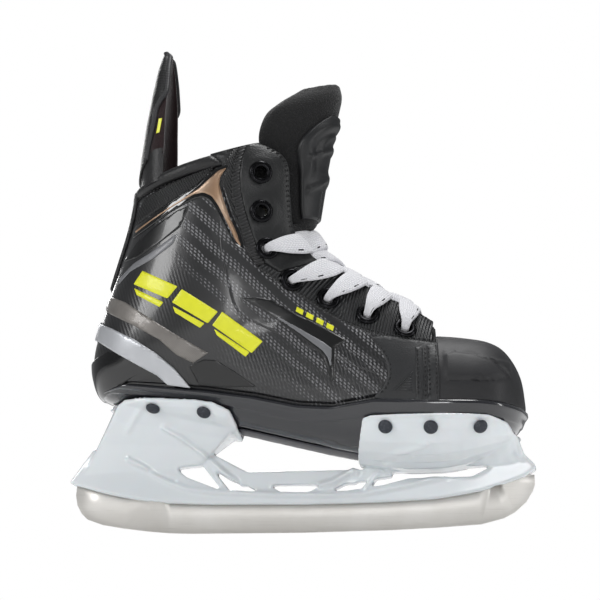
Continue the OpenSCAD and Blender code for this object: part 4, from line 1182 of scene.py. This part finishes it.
def stitches(name, lines, d, material, pitch=2.3, length=1.5, radius=0.26, side=-1, seen=True, **kw):
    """Rows of single stitches that lie on the surface along lines, as one piece."""
    points, faces = [], []
    for line in lines:
        if seen:
            places = from_side(outline_steps(line, 1.0, closed=False))
        else:
            places = outline_steps(np.array(line) * PLACE_SCALE, 1.0, closed=False) / PLACE_SCALE
        track = skin(places[:, 0], places[:, 1], np.full(len(places), d))
        normal = skin_normal(places[:, 0], places[:, 1])
        far = np.concatenate([[0], np.cumsum(np.linalg.norm(np.diff(track, axis=0), axis=1))])
        for at in np.arange(pitch / 2, far[-1] - length / 2, pitch):
            offsets = np.linspace(-0.5, 0.5, 5) * length
            ends = [np.array([np.interp(at + o, far, track[:, c]) for c in range(3)]) for o in offsets]
            n = unit(np.array([np.interp(at, far, normal[:, c]) for c in range(3)]))
            along = unit(ends[-1] - ends[0])
            wide = np.cross(along, n)
            start = len(points)
            for e, grow, rise in zip(ends, (0.3, 0.9, 1, 0.9, 0.3), (-0.25, 0.05, 0.15, 0.05, -0.25)):
                for a in np.arange(6) * math.pi / 3:
                    points.append(e + n * rise + radius * grow * (math.cos(a) * wide + math.sin(a) * n))
            faces += grid_faces(5, 6, start, around=True)
            faces += [tuple(start + k for k in range(6))[::-1], tuple(start + 24 + k for k in range(6))]
    points = np.array(points)
    if side > 0:
        points = points * MIRROR
        faces = [f[::-1] for f in faces]
    return mesh_piece(name, points, faces, material, "boot", sharp=0, **kw)


PANEL_FRONT = [(0.35, 0.055), (0.8, 0.05), (1.6, 0.05), (2.4, 0.05), (3.1, 0.05)]
LACE_EDGE = [(4.5, 0.05), (6, 0.05), (8, 0.05), (10, 0.05), (12.9, 0.05)]
for side_name, side in SIDES.items():
    stitches(f"stitch_panel_{side_name}", [PANEL_FRONT, [(v, t + 0.018) for v, t in PANEL_FRONT], LACE_EDGE], 0.62,
        mat["thread"], side=side, seen=False, slot="facing_vinyl")
    stitches(
        f"stitch_lines_{side_name}",
        [
            [(-21, 119.6), (-10, 112), (0, 106), (10, 99.4), (20, 94.2), (30, 90.4), (45, 87.2), (58.6, 85.8)],
            [(-28.4, 171), (-30.2, 164), (-31, 157), (-30.6, 149.5), (-28, 140.5), (-25, 130.6), (-22.2, 124.4)],
            [(30.8, 86.4), (36, 81.4), (38.6, 75.6), (38.9, 70.6), (36.8, 65.6), (33, 61.8)],
            [(54, 83), (54, 61)],
        ],
        0.62, mat["thread"], side=side, slot="quarter_weave",
    )
    stitches(
        f"stitch_strips_{side_name}",
        [[(50.6, 82.4), (50.7, 61)], [(55.6, 83), (55.7, 61)], [(58.9, 83.6), (58.9, 61)]],
        1.1, mat["thread"], side=side, slot="quarter_weave",
    )
    stitches(f"stitch_collar_{side_name}", [[(0.74, t) for t in np.linspace(0.37, 0.99, 14)]], 0.5, mat["thread"],
        side=side, seen=False, slot="collar_vinyl")
    patch(f"ridge_{side_name}", [(39, 64), (48.4, 72.6), (48.4, 71.6), (40.6, 64)], 0.85, 0.4, mat["charcoal"], side=side,
        slot="quarter_weave", step=1.0)
    for k in range(6):
        z = 64.2 + k * 1.15
        patch(f"step_{k}_{side_name}", [(41.4 + k * 0.95, z), (47.9, z), (47.9, z + 0.55), (42 + k * 0.95, z + 0.55)],
            0.85, 0.4, mat["charcoal"], side=side, slot="quarter_weave", step=1.0)

# ---- Tongue ----

TONGUE_T = 4
TONGUE_D = FACING_T + 3.2
CROWN = np.array([[2.7, 13.6], [3, 12.6], [4, 9.2], [6, 6.8], [10, 6], [13, 5.4]])
TONGUE_PATH = np.array([
    [6.4, 138.6, 8, 16, 10], [7.6, 146, 8, 18.5, 14], [9.2, 156, 8, 20, 17], [11.2, 167, 8, 21.5, 21],
    [13.6, 179, 8, 27, 29], [16.8, 192, 10, 26.5, 30], [18.1, 199.5, 12, 22, 25], [16.5, 205.5, 14, 13, 15],
])
TONGUE_WRAP = math.radians(72)


def forward(v):
    return unit(skin_normal(v, np.full(np.shape(v), 0.02)) * [1, 0, 1])


def throat_point(v, f, d):
    s = section_at(v)
    flat = np.stack([s[..., 0], f * s[..., 5], s[..., 1]], -1)
    return flat + np.asarray(d, float)[..., None] * forward(v)


def tongue_lift(v, f):
    return np.interp(v, CROWN[:, 0], CROWN[:, 1]) * (1 - f * f) - TONGUE_D


def tongue_base_row(v, d):
    sides = np.array([skin(v, t, -TONGUE_D - d) for t in np.linspace(0.24, 0.05, 4)])
    top = np.array([throat_point(np.array(v), f, tongue_lift(v, f) - d) for f in (-0.92, -0.7, -0.36, 0)])
    half = np.concatenate([sides, top])
    return np.concatenate([half, half[-2::-1] * MIRROR])


def smooth_rows(grid, rows, cols):
    """A grid of points, finer in both directions."""
    grid = np.asarray(grid, float)
    fine = smooth_row(grid.reshape(len(grid), -1), np.linspace(0, len(grid) - 1, rows)).reshape(rows, grid.shape[1], 3)
    turned = fine.transpose(1, 0, 2)
    out = smooth_row(turned.reshape(turned.shape[0], -1), np.linspace(0, turned.shape[0] - 1, cols))
    return out.reshape(cols, rows, 3).transpose(1, 0, 2)


base_v = np.concatenate([[2.8, 3.1], np.linspace(3.5, 6, 6), np.linspace(6.75, 12.99, 9)])
base_top = smooth_rows([tongue_base_row(v, 0) for v in base_v], 70, 57)
base_low = smooth_rows([tongue_base_row(v, TONGUE_T - 1) for v in base_v], 70, 57)
tongue_lower = slab(
    "tongue_lower", base_top, base_low, mat["tongue_felt"], "boot", slot="tongue_felt", replaces=["tongue_base"],
)


def tongue_point(k, f, d):
    """Place k up the tongue's upper part, f across it from -1 to 1, at height d."""
    s = np.moveaxis(smooth_row(TONGUE_PATH, k), -1, 0)
    lean = np.radians(s[2])
    a = f * TONGUE_WRAP
    out = d - s[4] * (1 - np.cos(a)) / (1 - math.cos(TONGUE_WRAP))
    half = (s[3] - TONGUE_T + d) * np.sin(a) / math.sin(TONGUE_WRAP)
    return np.stack([s[0] + np.cos(lean) * out, half, s[1] + np.sin(lean) * out], -1)


k, f = np.meshgrid(dense(0, 7, 60, 0.012), dense(-1, 1, 60, 0.012), indexing="ij")
f = f * (1 + 0.26 * smooth(0.5, 1.4, k) * smooth(3.9, 3.1, k))
flat_felt = tongue_point(k, f, np.zeros(k.shape))
felt_drop = rim_drop(flat_felt, 2.0)
frayed = 0.35 * np.sin(f * 31 + 1) * np.sin(f * 57) * smooth(6.3, 7, k)
tongue_upper = slab(
    "tongue_upper", tongue_point(k, f, -felt_drop + frayed), tongue_point(k, f, -TONGUE_T + felt_drop * 0.9),
    mat["tongue_felt"], "tongue_top", slot="tongue_felt", replaces=["tongue_felt"],
)


def guard_relief(k, f):
    """An arch, two cross ribs and a middle seam on the tongue's guard."""
    y = f * 24
    z = smooth_row(TONGUE_PATH, k)[..., 1]
    arch = np.hypot(y / 14.5, np.maximum(z - 172, 0) / 13)
    ring = np.exp(-(((arch - 1) / 0.13) ** 2)) * smooth(158, 166, z)
    inner = np.exp(-(((arch - 0.62) / 0.1) ** 2)) * smooth(166, 172, z) * 0.7
    cross = np.exp(-(((z - 174.5 + np.abs(y) * 0.35) / 1.2) ** 2))
    cross = cross + 1.2 * np.exp(-(((z - 161 + np.abs(y) * 0.45) / 1.7) ** 2))
    well = -0.5 * smooth(0.9, 0.75, arch) * smooth(162, 166, z)
    seam = -0.7 * np.exp(-(((np.abs(y) - 5.2) / 0.45) ** 2)) * smooth(159, 156, z)
    return 0.9 * ring + inner * 0.8 + 0.8 * cross * smooth(16, 14.5, np.abs(y)) + well + seam


k, f = np.meshgrid(dense(0.4, 4.75, 110, 0.01), dense(-0.74, 0.74, 96, 0.01), indexing="ij")
f = f * np.sqrt(1 - 0.85 * np.clip((k - 2.9) / 1.85, 0, 1) ** 2)
flat_guard = tongue_point(k, f, np.full(k.shape, 1.5))
guard_drop = rim_drop(flat_guard, 1.1)
slab(
    "tongue_shield", tongue_point(k, f, 1.5 + guard_relief(k, f) - guard_drop), tongue_point(k, f, np.full(k.shape, 0.25)),
    mat["guard_plastic"], "tongue_top", slot="guard_plastic", replaces=["tongue_guard"],
)

# The felt between the tongue's two halves, one fixed piece
rows = 14
across = np.linspace(-1, 1, 57)
low_top = smooth_rows([tongue_base_row(v, 0.3) for v in (2.8, 3.1)], 2, 57)[0]
low_in = smooth_rows([tongue_base_row(v, TONGUE_T - 1.3) for v in (2.8, 3.1)], 2, 57)[0]
high_top = tongue_point(np.full(57, 0.12), across * 0.97, np.full(57, -0.4))
high_in = tongue_point(np.full(57, 0.12), across * 0.97, np.full(57, -TONGUE_T + 0.4))
share = smooth(0, 1, np.linspace(0, 1, rows))[:, None, None]
bridge = slab(
    "tongue_bend", mix(low_top, high_top, share), mix(low_in, high_in, share), mat["tongue_felt"], "boot",
    slot="tongue_felt",
)
bridge.parent = None
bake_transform(bridge)

# ---- Tendon guard ----

HALF = np.array([[0, 27.5], [0.35, 25.5], [0.6, 22], [0.8, 17], [0.93, 11], [1, 5.5]])
REAR = np.array([[0, -74.6], [0.15, -73.5], [0.4, -70.8], [0.65, -67.2], [0.85, -63.8], [1, -60.2]])
FRONT = np.array([[0, -60.5], [0.35, -59.8], [0.6, -58.6], [1, -57]])
TIP_BACK = 3.2


def tendon_point(f, a, d):
    w = np.interp(f, HALF[:, 0], HALF[:, 1]) - d
    back = np.interp(f, REAR[:, 0], REAR[:, 1]) + d
    front = np.interp(f, FRONT[:, 0], FRONT[:, 1])
    low = 158 + 11 * np.sin(a) ** 2
    share = np.maximum(np.cos(a), 0) ** 0.8
    lean = TIP_BACK * f * f
    return np.stack([mix(front, back, share) - lean, w * np.sin(a), mix(low, 221.8 - 2.5 * (1 - np.cos(a)), f)], -1)


def shell_reach(f):
    """How far round the outer shell goes: it draws back from the front edge low down."""
    return 1.0 + (math.pi / 2 - 1.0) * (0.35 * smooth(0, 0.4, f) + 0.65 * smooth(0.42, 0.6, f))


f, a = np.meshgrid(dense(0, 1, 60, 0.015), dense(-1, 1, 70, 0.01), indexing="ij")
flat_shell = tendon_point(f, a * shell_reach(f), np.zeros(f.shape))
drop = rim_drop(flat_shell, 0.8)
a = a * shell_reach(f)
slab(
    "tendon_shell", tendon_point(f, a, drop), tendon_point(f, a, np.full(f.shape, 1.8)), mat["guard_fabric"], "tendon",
    slot="guard_fabric", replaces=["tendon_guard"],
)
f, a = np.meshgrid(dense(0, 0.985, 60, 0.015), dense(-math.pi / 2, math.pi / 2, 70, 0.01), indexing="ij")
drop = rim_drop(tendon_point(f, a, np.full(f.shape, 2.0)), 1.0)
slab("tendon_lining", tendon_point(f, a, 1.5 + drop), tendon_point(f, a, 4.05 - drop), mat["maroon_lining"],
    "tendon", slot="maroon_lining", replaces=["tendon_guard_lining"])
# The soft foot of the guard, one fixed piece between the collar and the guard
share, a = np.meshgrid(np.linspace(0, 1, 12), np.linspace(-1.55, 1.55, 60), indexing="ij")
soft_foot = []
for d in (1.0, 3.5):
    low, high = tendon_point(np.zeros(a.shape), a, d), tendon_point(np.full(a.shape, 0.05), a, d)
    low[..., 2] = 153.0 + 0.301 * (low[..., 0] + 74.8)
    soft_foot.append(mix(low, high, share[..., None]))
tendon_bend = slab("tendon_bend", *soft_foot, mat["collar_vinyl"], "boot", slot="guard_fabric")
tendon_bend.parent = None
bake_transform(tendon_bend)
edge_f = np.concatenate([np.linspace(0.02, 0.99, 60), np.full(25, 0.99), np.linspace(0.99, 0.02, 60)])
edge_a = np.concatenate([-np.ones(60), np.linspace(-1, 1, 27)[1:-1], np.ones(60)]) * shell_reach(edge_f)
edge_path = tendon_point(edge_f, edge_a, np.full(len(edge_f), 0.7))
for _ in range(2):
    edge_path[1:-1] = (edge_path[:-2] + 2 * edge_path[1:-1] + edge_path[2:]) / 4
ring_tube(
    "tendon_binding", edge_path, np.tile([1.0, 0, 0.2], (len(edge_path), 1)), 2.2, 2.2, mat["binding"], "tendon",
    slot="guard_fabric",
)
for side in SIDES.values():
    f, a = np.meshgrid(np.linspace(0.2, 0.33, 8), np.linspace(1.34, 1.46, 6), indexing="ij")
    slant = a + (f - 0.26) * 0.5
    mark = [tendon_point(f, slant * side, np.full(f.shape, d)) for d in (1.25, 1.75)]
    slab(f"tendon_mark_{'outer' if side < 0 else 'inner'}", *mark, mat["yellow"], "tendon", slot="guard_fabric")

# ---- Lace ----

LACE_W, LACE_T = 8, 1.4
BUNCH_W, BUNCH_T = 3.6, 1.8
LACE_UNDER = FACING_T + 1.4
LOW_LIFT = 2
# The hank of the free ends, on the footbed
HANK_H, HANK_PITCH, HANK_Y = 10.2, 3.4, 5.2
HANK_LIFT = 2.6 + 1.2 + 1.4 + 0.25 + 3 + 2


def stop(point, wide, w, h):
    return np.concatenate([np.ravel(point), np.ravel(wide), [w, h]])


def skin_stop(v, t, d, w, h):
    v, t = np.array(float(v)), np.array(float(t))
    return stop(skin(v, t, d), skin_point(v + 0.05, t) - skin_point(v - 0.05, t), w, h)


def throat_stop(v, f, d):
    s = section_at(v + 0.05) - section_at(v - 0.05)
    return stop(throat_point(np.array(float(v)), f, d), [s[0], 0, s[1]], LACE_W, LACE_T)


def sided(stops, side):
    return [s if side < 0 else s * [1, -1, 1, 1, -1, 1, 1, 1] for s in stops]


def eyelet_out(v, t):
    return [
        skin_stop(v, 0.09, -LACE_UNDER, 6.5, LACE_T), skin_stop(v, t - 0.02, -FACING_T - 1.9, BUNCH_W, 1.8),
        skin_stop(v, t, -FACING_T, BUNCH_W, BUNCH_T), skin_stop(v, t, 1, BUNCH_W, BUNCH_T),
        skin_stop(v, t - 0.025, 3.2, 5, 1.8), skin_stop(v, 0.08, 2.2, LACE_W, LACE_T),
        skin_stop(v, 0.015, 1.6, LACE_W, LACE_T),
    ]


def across_throat(va, vb, d):
    out = []
    for f in (-0.75, -0.3, 0.3, 0.8):
        v = mix(va, vb, (f + 1) / 2)
        out.append(throat_stop(v, f, 1.8 if f < -0.5 else tongue_lift(v, f) + (LOW_LIFT if f > 0.5 else d)))
    return out


def under_across(va, vb, d):
    out = []
    for f in (-0.85, -0.3, 0.3, 0.85):
        v = mix(va, vb, (f + 1) / 2)
        out.append(throat_stop(v, f, tongue_lift(v, f) + (LOW_LIFT if abs(f) > 0.5 else d)))
    return out


def strand(s):
    lift = 4 if s < 0 else LOW_LIFT
    front = EYELETS[6]
    out = sided([throat_stop(front[0], -0.6, 1.6)], s)
    out += sided(eyelet_out(*front)[::-1], s)
    out += sided(under_across(front[0], EYELETS[5][0], lift), s)
    laced = [5, 4, 3, 2]
    for k in range(4):
        side = -s if k % 2 == 0 else s
        here = EYELETS[laced[k]]
        after = EYELETS[laced[k + 1]][0] if k < 3 else 3.25
        out += sided(eyelet_out(*here), side) + sided(across_throat(here[0], after, lift), side)
    out += sided([
        skin_stop(3.35, 0.1, -LACE_UNDER, 6.5, LACE_T), skin_stop(3.5, 0.2, -LACE_UNDER, 6.5, LACE_T),
        skin_stop(3.65, 0.275, -LACE_UNDER - 1.5, 6.5, LACE_T), skin_stop(3.8, 0.3, -LACE_UNDER - 5, LACE_W, LACE_T),
    ], -s)
    return out


def hank_line(lift, count=60):
    p = skin(np.linspace(8.5, 12.98, count), np.ones(count), np.full(count, -HANK_LIFT - lift))
    return p[:, [0, 2]]


TAIL = [
    ([-34, 19.5, 104], [0.6, 0, -0.8]), ([-48, 17.5, 94], [0.5, -0.1, -0.85]), ([-61, 14, 87.5], [0.5, -0.45, -0.7]),
    ([-71, 9.5, 83], [0.35, -0.9, -0.2]), ([-77, 6.4, 80], [0, -1, 0]), ([-79, 5.3, 77.5], [0, -1, 0]),
    ([-75, 5.2, 75.5], [0, -1, 0]),
]
mouth = hank_line(HANK_H - HANK_PITCH / 2)[0]
tail = [stop(p, s, LACE_W, LACE_T) for p, s in TAIL]
tail.append(stop([mouth[0] - 3.8, HANK_Y, mouth[1] + 0.6], [0, -1, 0], LACE_W, LACE_T))
tail_count = len(tail)
lace_stops = np.array(
    (strand(1) + sided(tail, 1))[::-1]
    + [throat_stop(EYELETS[6][0], 0, 1.6)]
    + strand(-1) + tail
)


def lace_rings(first, last, per):
    return smooth_row(lace_stops, np.linspace(first, last, int(round((last - first) * per)) + 1))


rings = lace_rings(tail_count, len(lace_stops) - 1 - tail_count, 7)
leaf = smooth(4, 7, rings[:, 6])
ring_tube(
    "lace_laced", rings[:, :3], rings[:, 3:6], rings[:, 6] + 2.2 * leaf, rings[:, 7] + 1.3 * leaf,
    mat["lace_white"], "boot", power=0.85, count=18, slot="lace_white", replaces=["lace"],
)


def hank_path():
    """Forwards along the top run, back along the middle one and forwards along the lowest."""
    lifts = [HANK_H - HANK_PITCH / 2, HANK_H / 2, HANK_PITCH / 2]
    runs = [hank_line(lift) for lift in lifts]
    path = [runs[0]]
    a = np.linspace(0, math.pi, 9)[1:-1, None]
    for k, end in ((0, -1), (1, 0)):
        p, q = runs[k][end], runs[k + 1][end]
        c, r = (p + q) / 2, (p - q) / 2
        out = np.array([abs(r[1]), -r[0]]) * (1 if end == -1 else -1)
        path += [c + np.cos(a) * r + np.sin(a) * out, runs[k + 1][::-1] if k == 0 else runs[k + 1]]
    end = runs[2][-1]
    tip = hank_line(HANK_H / 2)[-1] + [HANK_H / 2, 0]
    f = np.linspace(0, 1, 8)[1:, None]
    path.append(end + (tip - end) * [1, 0] * f + (tip - end) * [0, 1] * smooth(0, 1, f))
    return np.concatenate(path)


flat_hank = hank_path()
for side_name, side in SIDES.items():
    down = lace_rings(len(lace_stops) - 1 - tail_count, len(lace_stops) - 1, 6)[:, :6]
    lead = np.stack([flat_hank[:, 0], np.full(len(flat_hank), HANK_Y), flat_hank[:, 1]], 1)
    path = np.concatenate([down[:, :3], lead])
    wide = np.concatenate([down[:, 3:6], np.tile([0, -1.0, 0], (len(lead), 1))])
    path, wide = path * [1, side, 1], wide * [1, side, 1]
    end = ring_tube(
        f"lace_end_{side_name}", path, wide, LACE_W, LACE_T, mat["lace_white"], "boot", power=0.85, count=12,
        slot="lace_white", replaces=[f"lace_tail_{side_name}", f"lace_hank_{side_name}"],
    )

# ---- Floor, light and camera ----


def stage_look():
    """A pale floor that isn't in the way of a camera that looks up from under it."""
    k = Look("floor_look", "dadada", 0.9, spec=0.1)
    k.tint(k.noise(400).step(0.3, 0.7) * 0.3, "d4d4d4")
    k.shader.inputs["Emission Color"].default_value = (1, 1, 1, 1)
    k.shader.inputs["Emission Strength"].default_value = 0.26
    clear, blend_node = k.node("ShaderNodeBsdfTransparent"), k.node("ShaderNodeMixShader")
    geometry = k.node("ShaderNodeNewGeometry")
    out = next(n for n in k.tree.nodes if n.type == "OUTPUT_MATERIAL")
    k.tree.links.new(geometry.outputs["Backfacing"], blend_node.inputs["Fac"])
    k.tree.links.new(k.shader.outputs[0], blend_node.inputs[1])
    k.tree.links.new(clear.outputs[0], blend_node.inputs[2])
    k.tree.links.new(blend_node.outputs[0], out.inputs["Surface"])
    return k.material


floor_mesh = bpy.data.meshes.new("floor")
FLOOR_HALF, FLOOR_Z = 3, -0.0003
floor_corners = [(x * FLOOR_HALF, y * FLOOR_HALF, FLOOR_Z) for x, y in ((-1, -1), (1, -1), (1, 1), (-1, 1))]
floor_mesh.from_pydata(floor_corners, [], [(0, 1, 2, 3)])
floor_mesh.materials.append(stage_look())
floor = bpy.data.objects.new("floor", floor_mesh)
bpy.context.scene.collection.objects.link(floor)


def studio_world():
    """White behind everything, with a dim light from all round that is a little brighter from above."""
    world = bpy.data.worlds.new("studio")
    world.use_nodes = True
    tree = world.node_tree
    tree.nodes.clear()
    node = {kind: tree.nodes.new("ShaderNode" + kind) for kind in (
        "OutputWorld", "MixShader", "LightPath", "TexCoord", "SeparateXYZ", "MapRange")}
    white, soft = tree.nodes.new("ShaderNodeBackground"), tree.nodes.new("ShaderNodeBackground")
    white.inputs["Color"].default_value = (1, 1, 1, 1)
    soft.inputs["Color"].default_value = (0.96, 0.98, 1, 1)
    tree.links.new(node["TexCoord"].outputs["Generated"], node["SeparateXYZ"].inputs[0])
    tree.links.new(node["SeparateXYZ"].outputs["Z"], node["MapRange"].inputs["Value"])
    for name, value in (("From Min", -1), ("From Max", 1), ("To Min", 0.15), ("To Max", 0.24)):
        node["MapRange"].inputs[name].default_value = value
    tree.links.new(node["MapRange"].outputs["Result"], soft.inputs["Strength"])
    tree.links.new(node["LightPath"].outputs["Is Camera Ray"], node["MixShader"].inputs["Fac"])
    tree.links.new(soft.outputs[0], node["MixShader"].inputs[1])
    tree.links.new(white.outputs[0], node["MixShader"].inputs[2])
    tree.links.new(node["MixShader"].outputs[0], node["OutputWorld"].inputs["Surface"])
    return world


bpy.context.scene.world = studio_world()


def area_light(name, place, target, size, power):
    data = bpy.data.lights.new(name, "AREA")
    data.shape = "RECTANGLE"
    data.size, data.size_y = size
    data.energy = power
    light = bpy.data.objects.new(name, data)
    light.location = place
    light.rotation_euler = (Vector(target) - Vector(place)).to_track_quat("-Z", "Y").to_euler()
    bpy.context.scene.collection.objects.link(light)


area_light("key", (-0.75, -0.7, 0.5), (0, 0, 0.09), (0.4, 0.35), 4.4)
area_light("side", (0.1, -1, 0.12), (0, 0, 0.06), (0.12, 0.5), 1.6)
area_light("top", (0.15, 0.05, 0.95), (0, 0, 0.1), (0.7, 0.2), 5.5)
area_light("front", (0.9, -0.25, 0.3), (0, 0, 0.1), (0.15, 0.5), 1.6)
area_light("back", (-0.3, 0.9, 0.5), (0, 0, 0.1), (0.45, 0.35), 4.2)

camera_data = bpy.data.cameras.new("camera")
camera_data.sensor_width, camera_data.lens = 36, 200
camera_data.clip_start, camera_data.clip_end = 0.05, 20
camera = bpy.data.objects.new("camera", camera_data)
middle = (RIGHT * -1.1 + UP * 103.97 + BACK * 24) * MM
camera.location = middle + BACK * (0.264 / 2 / (18 / 200))
camera.rotation_mode = "QUATERNION"
camera.rotation_quaternion = Matrix(np.stack([RIGHT, UP, BACK], 1).tolist()).to_quaternion()
bpy.context.scene.collection.objects.link(camera)
bpy.context.scene.camera = camera
bpy.context.scene.view_settings.view_transform = "Standard"
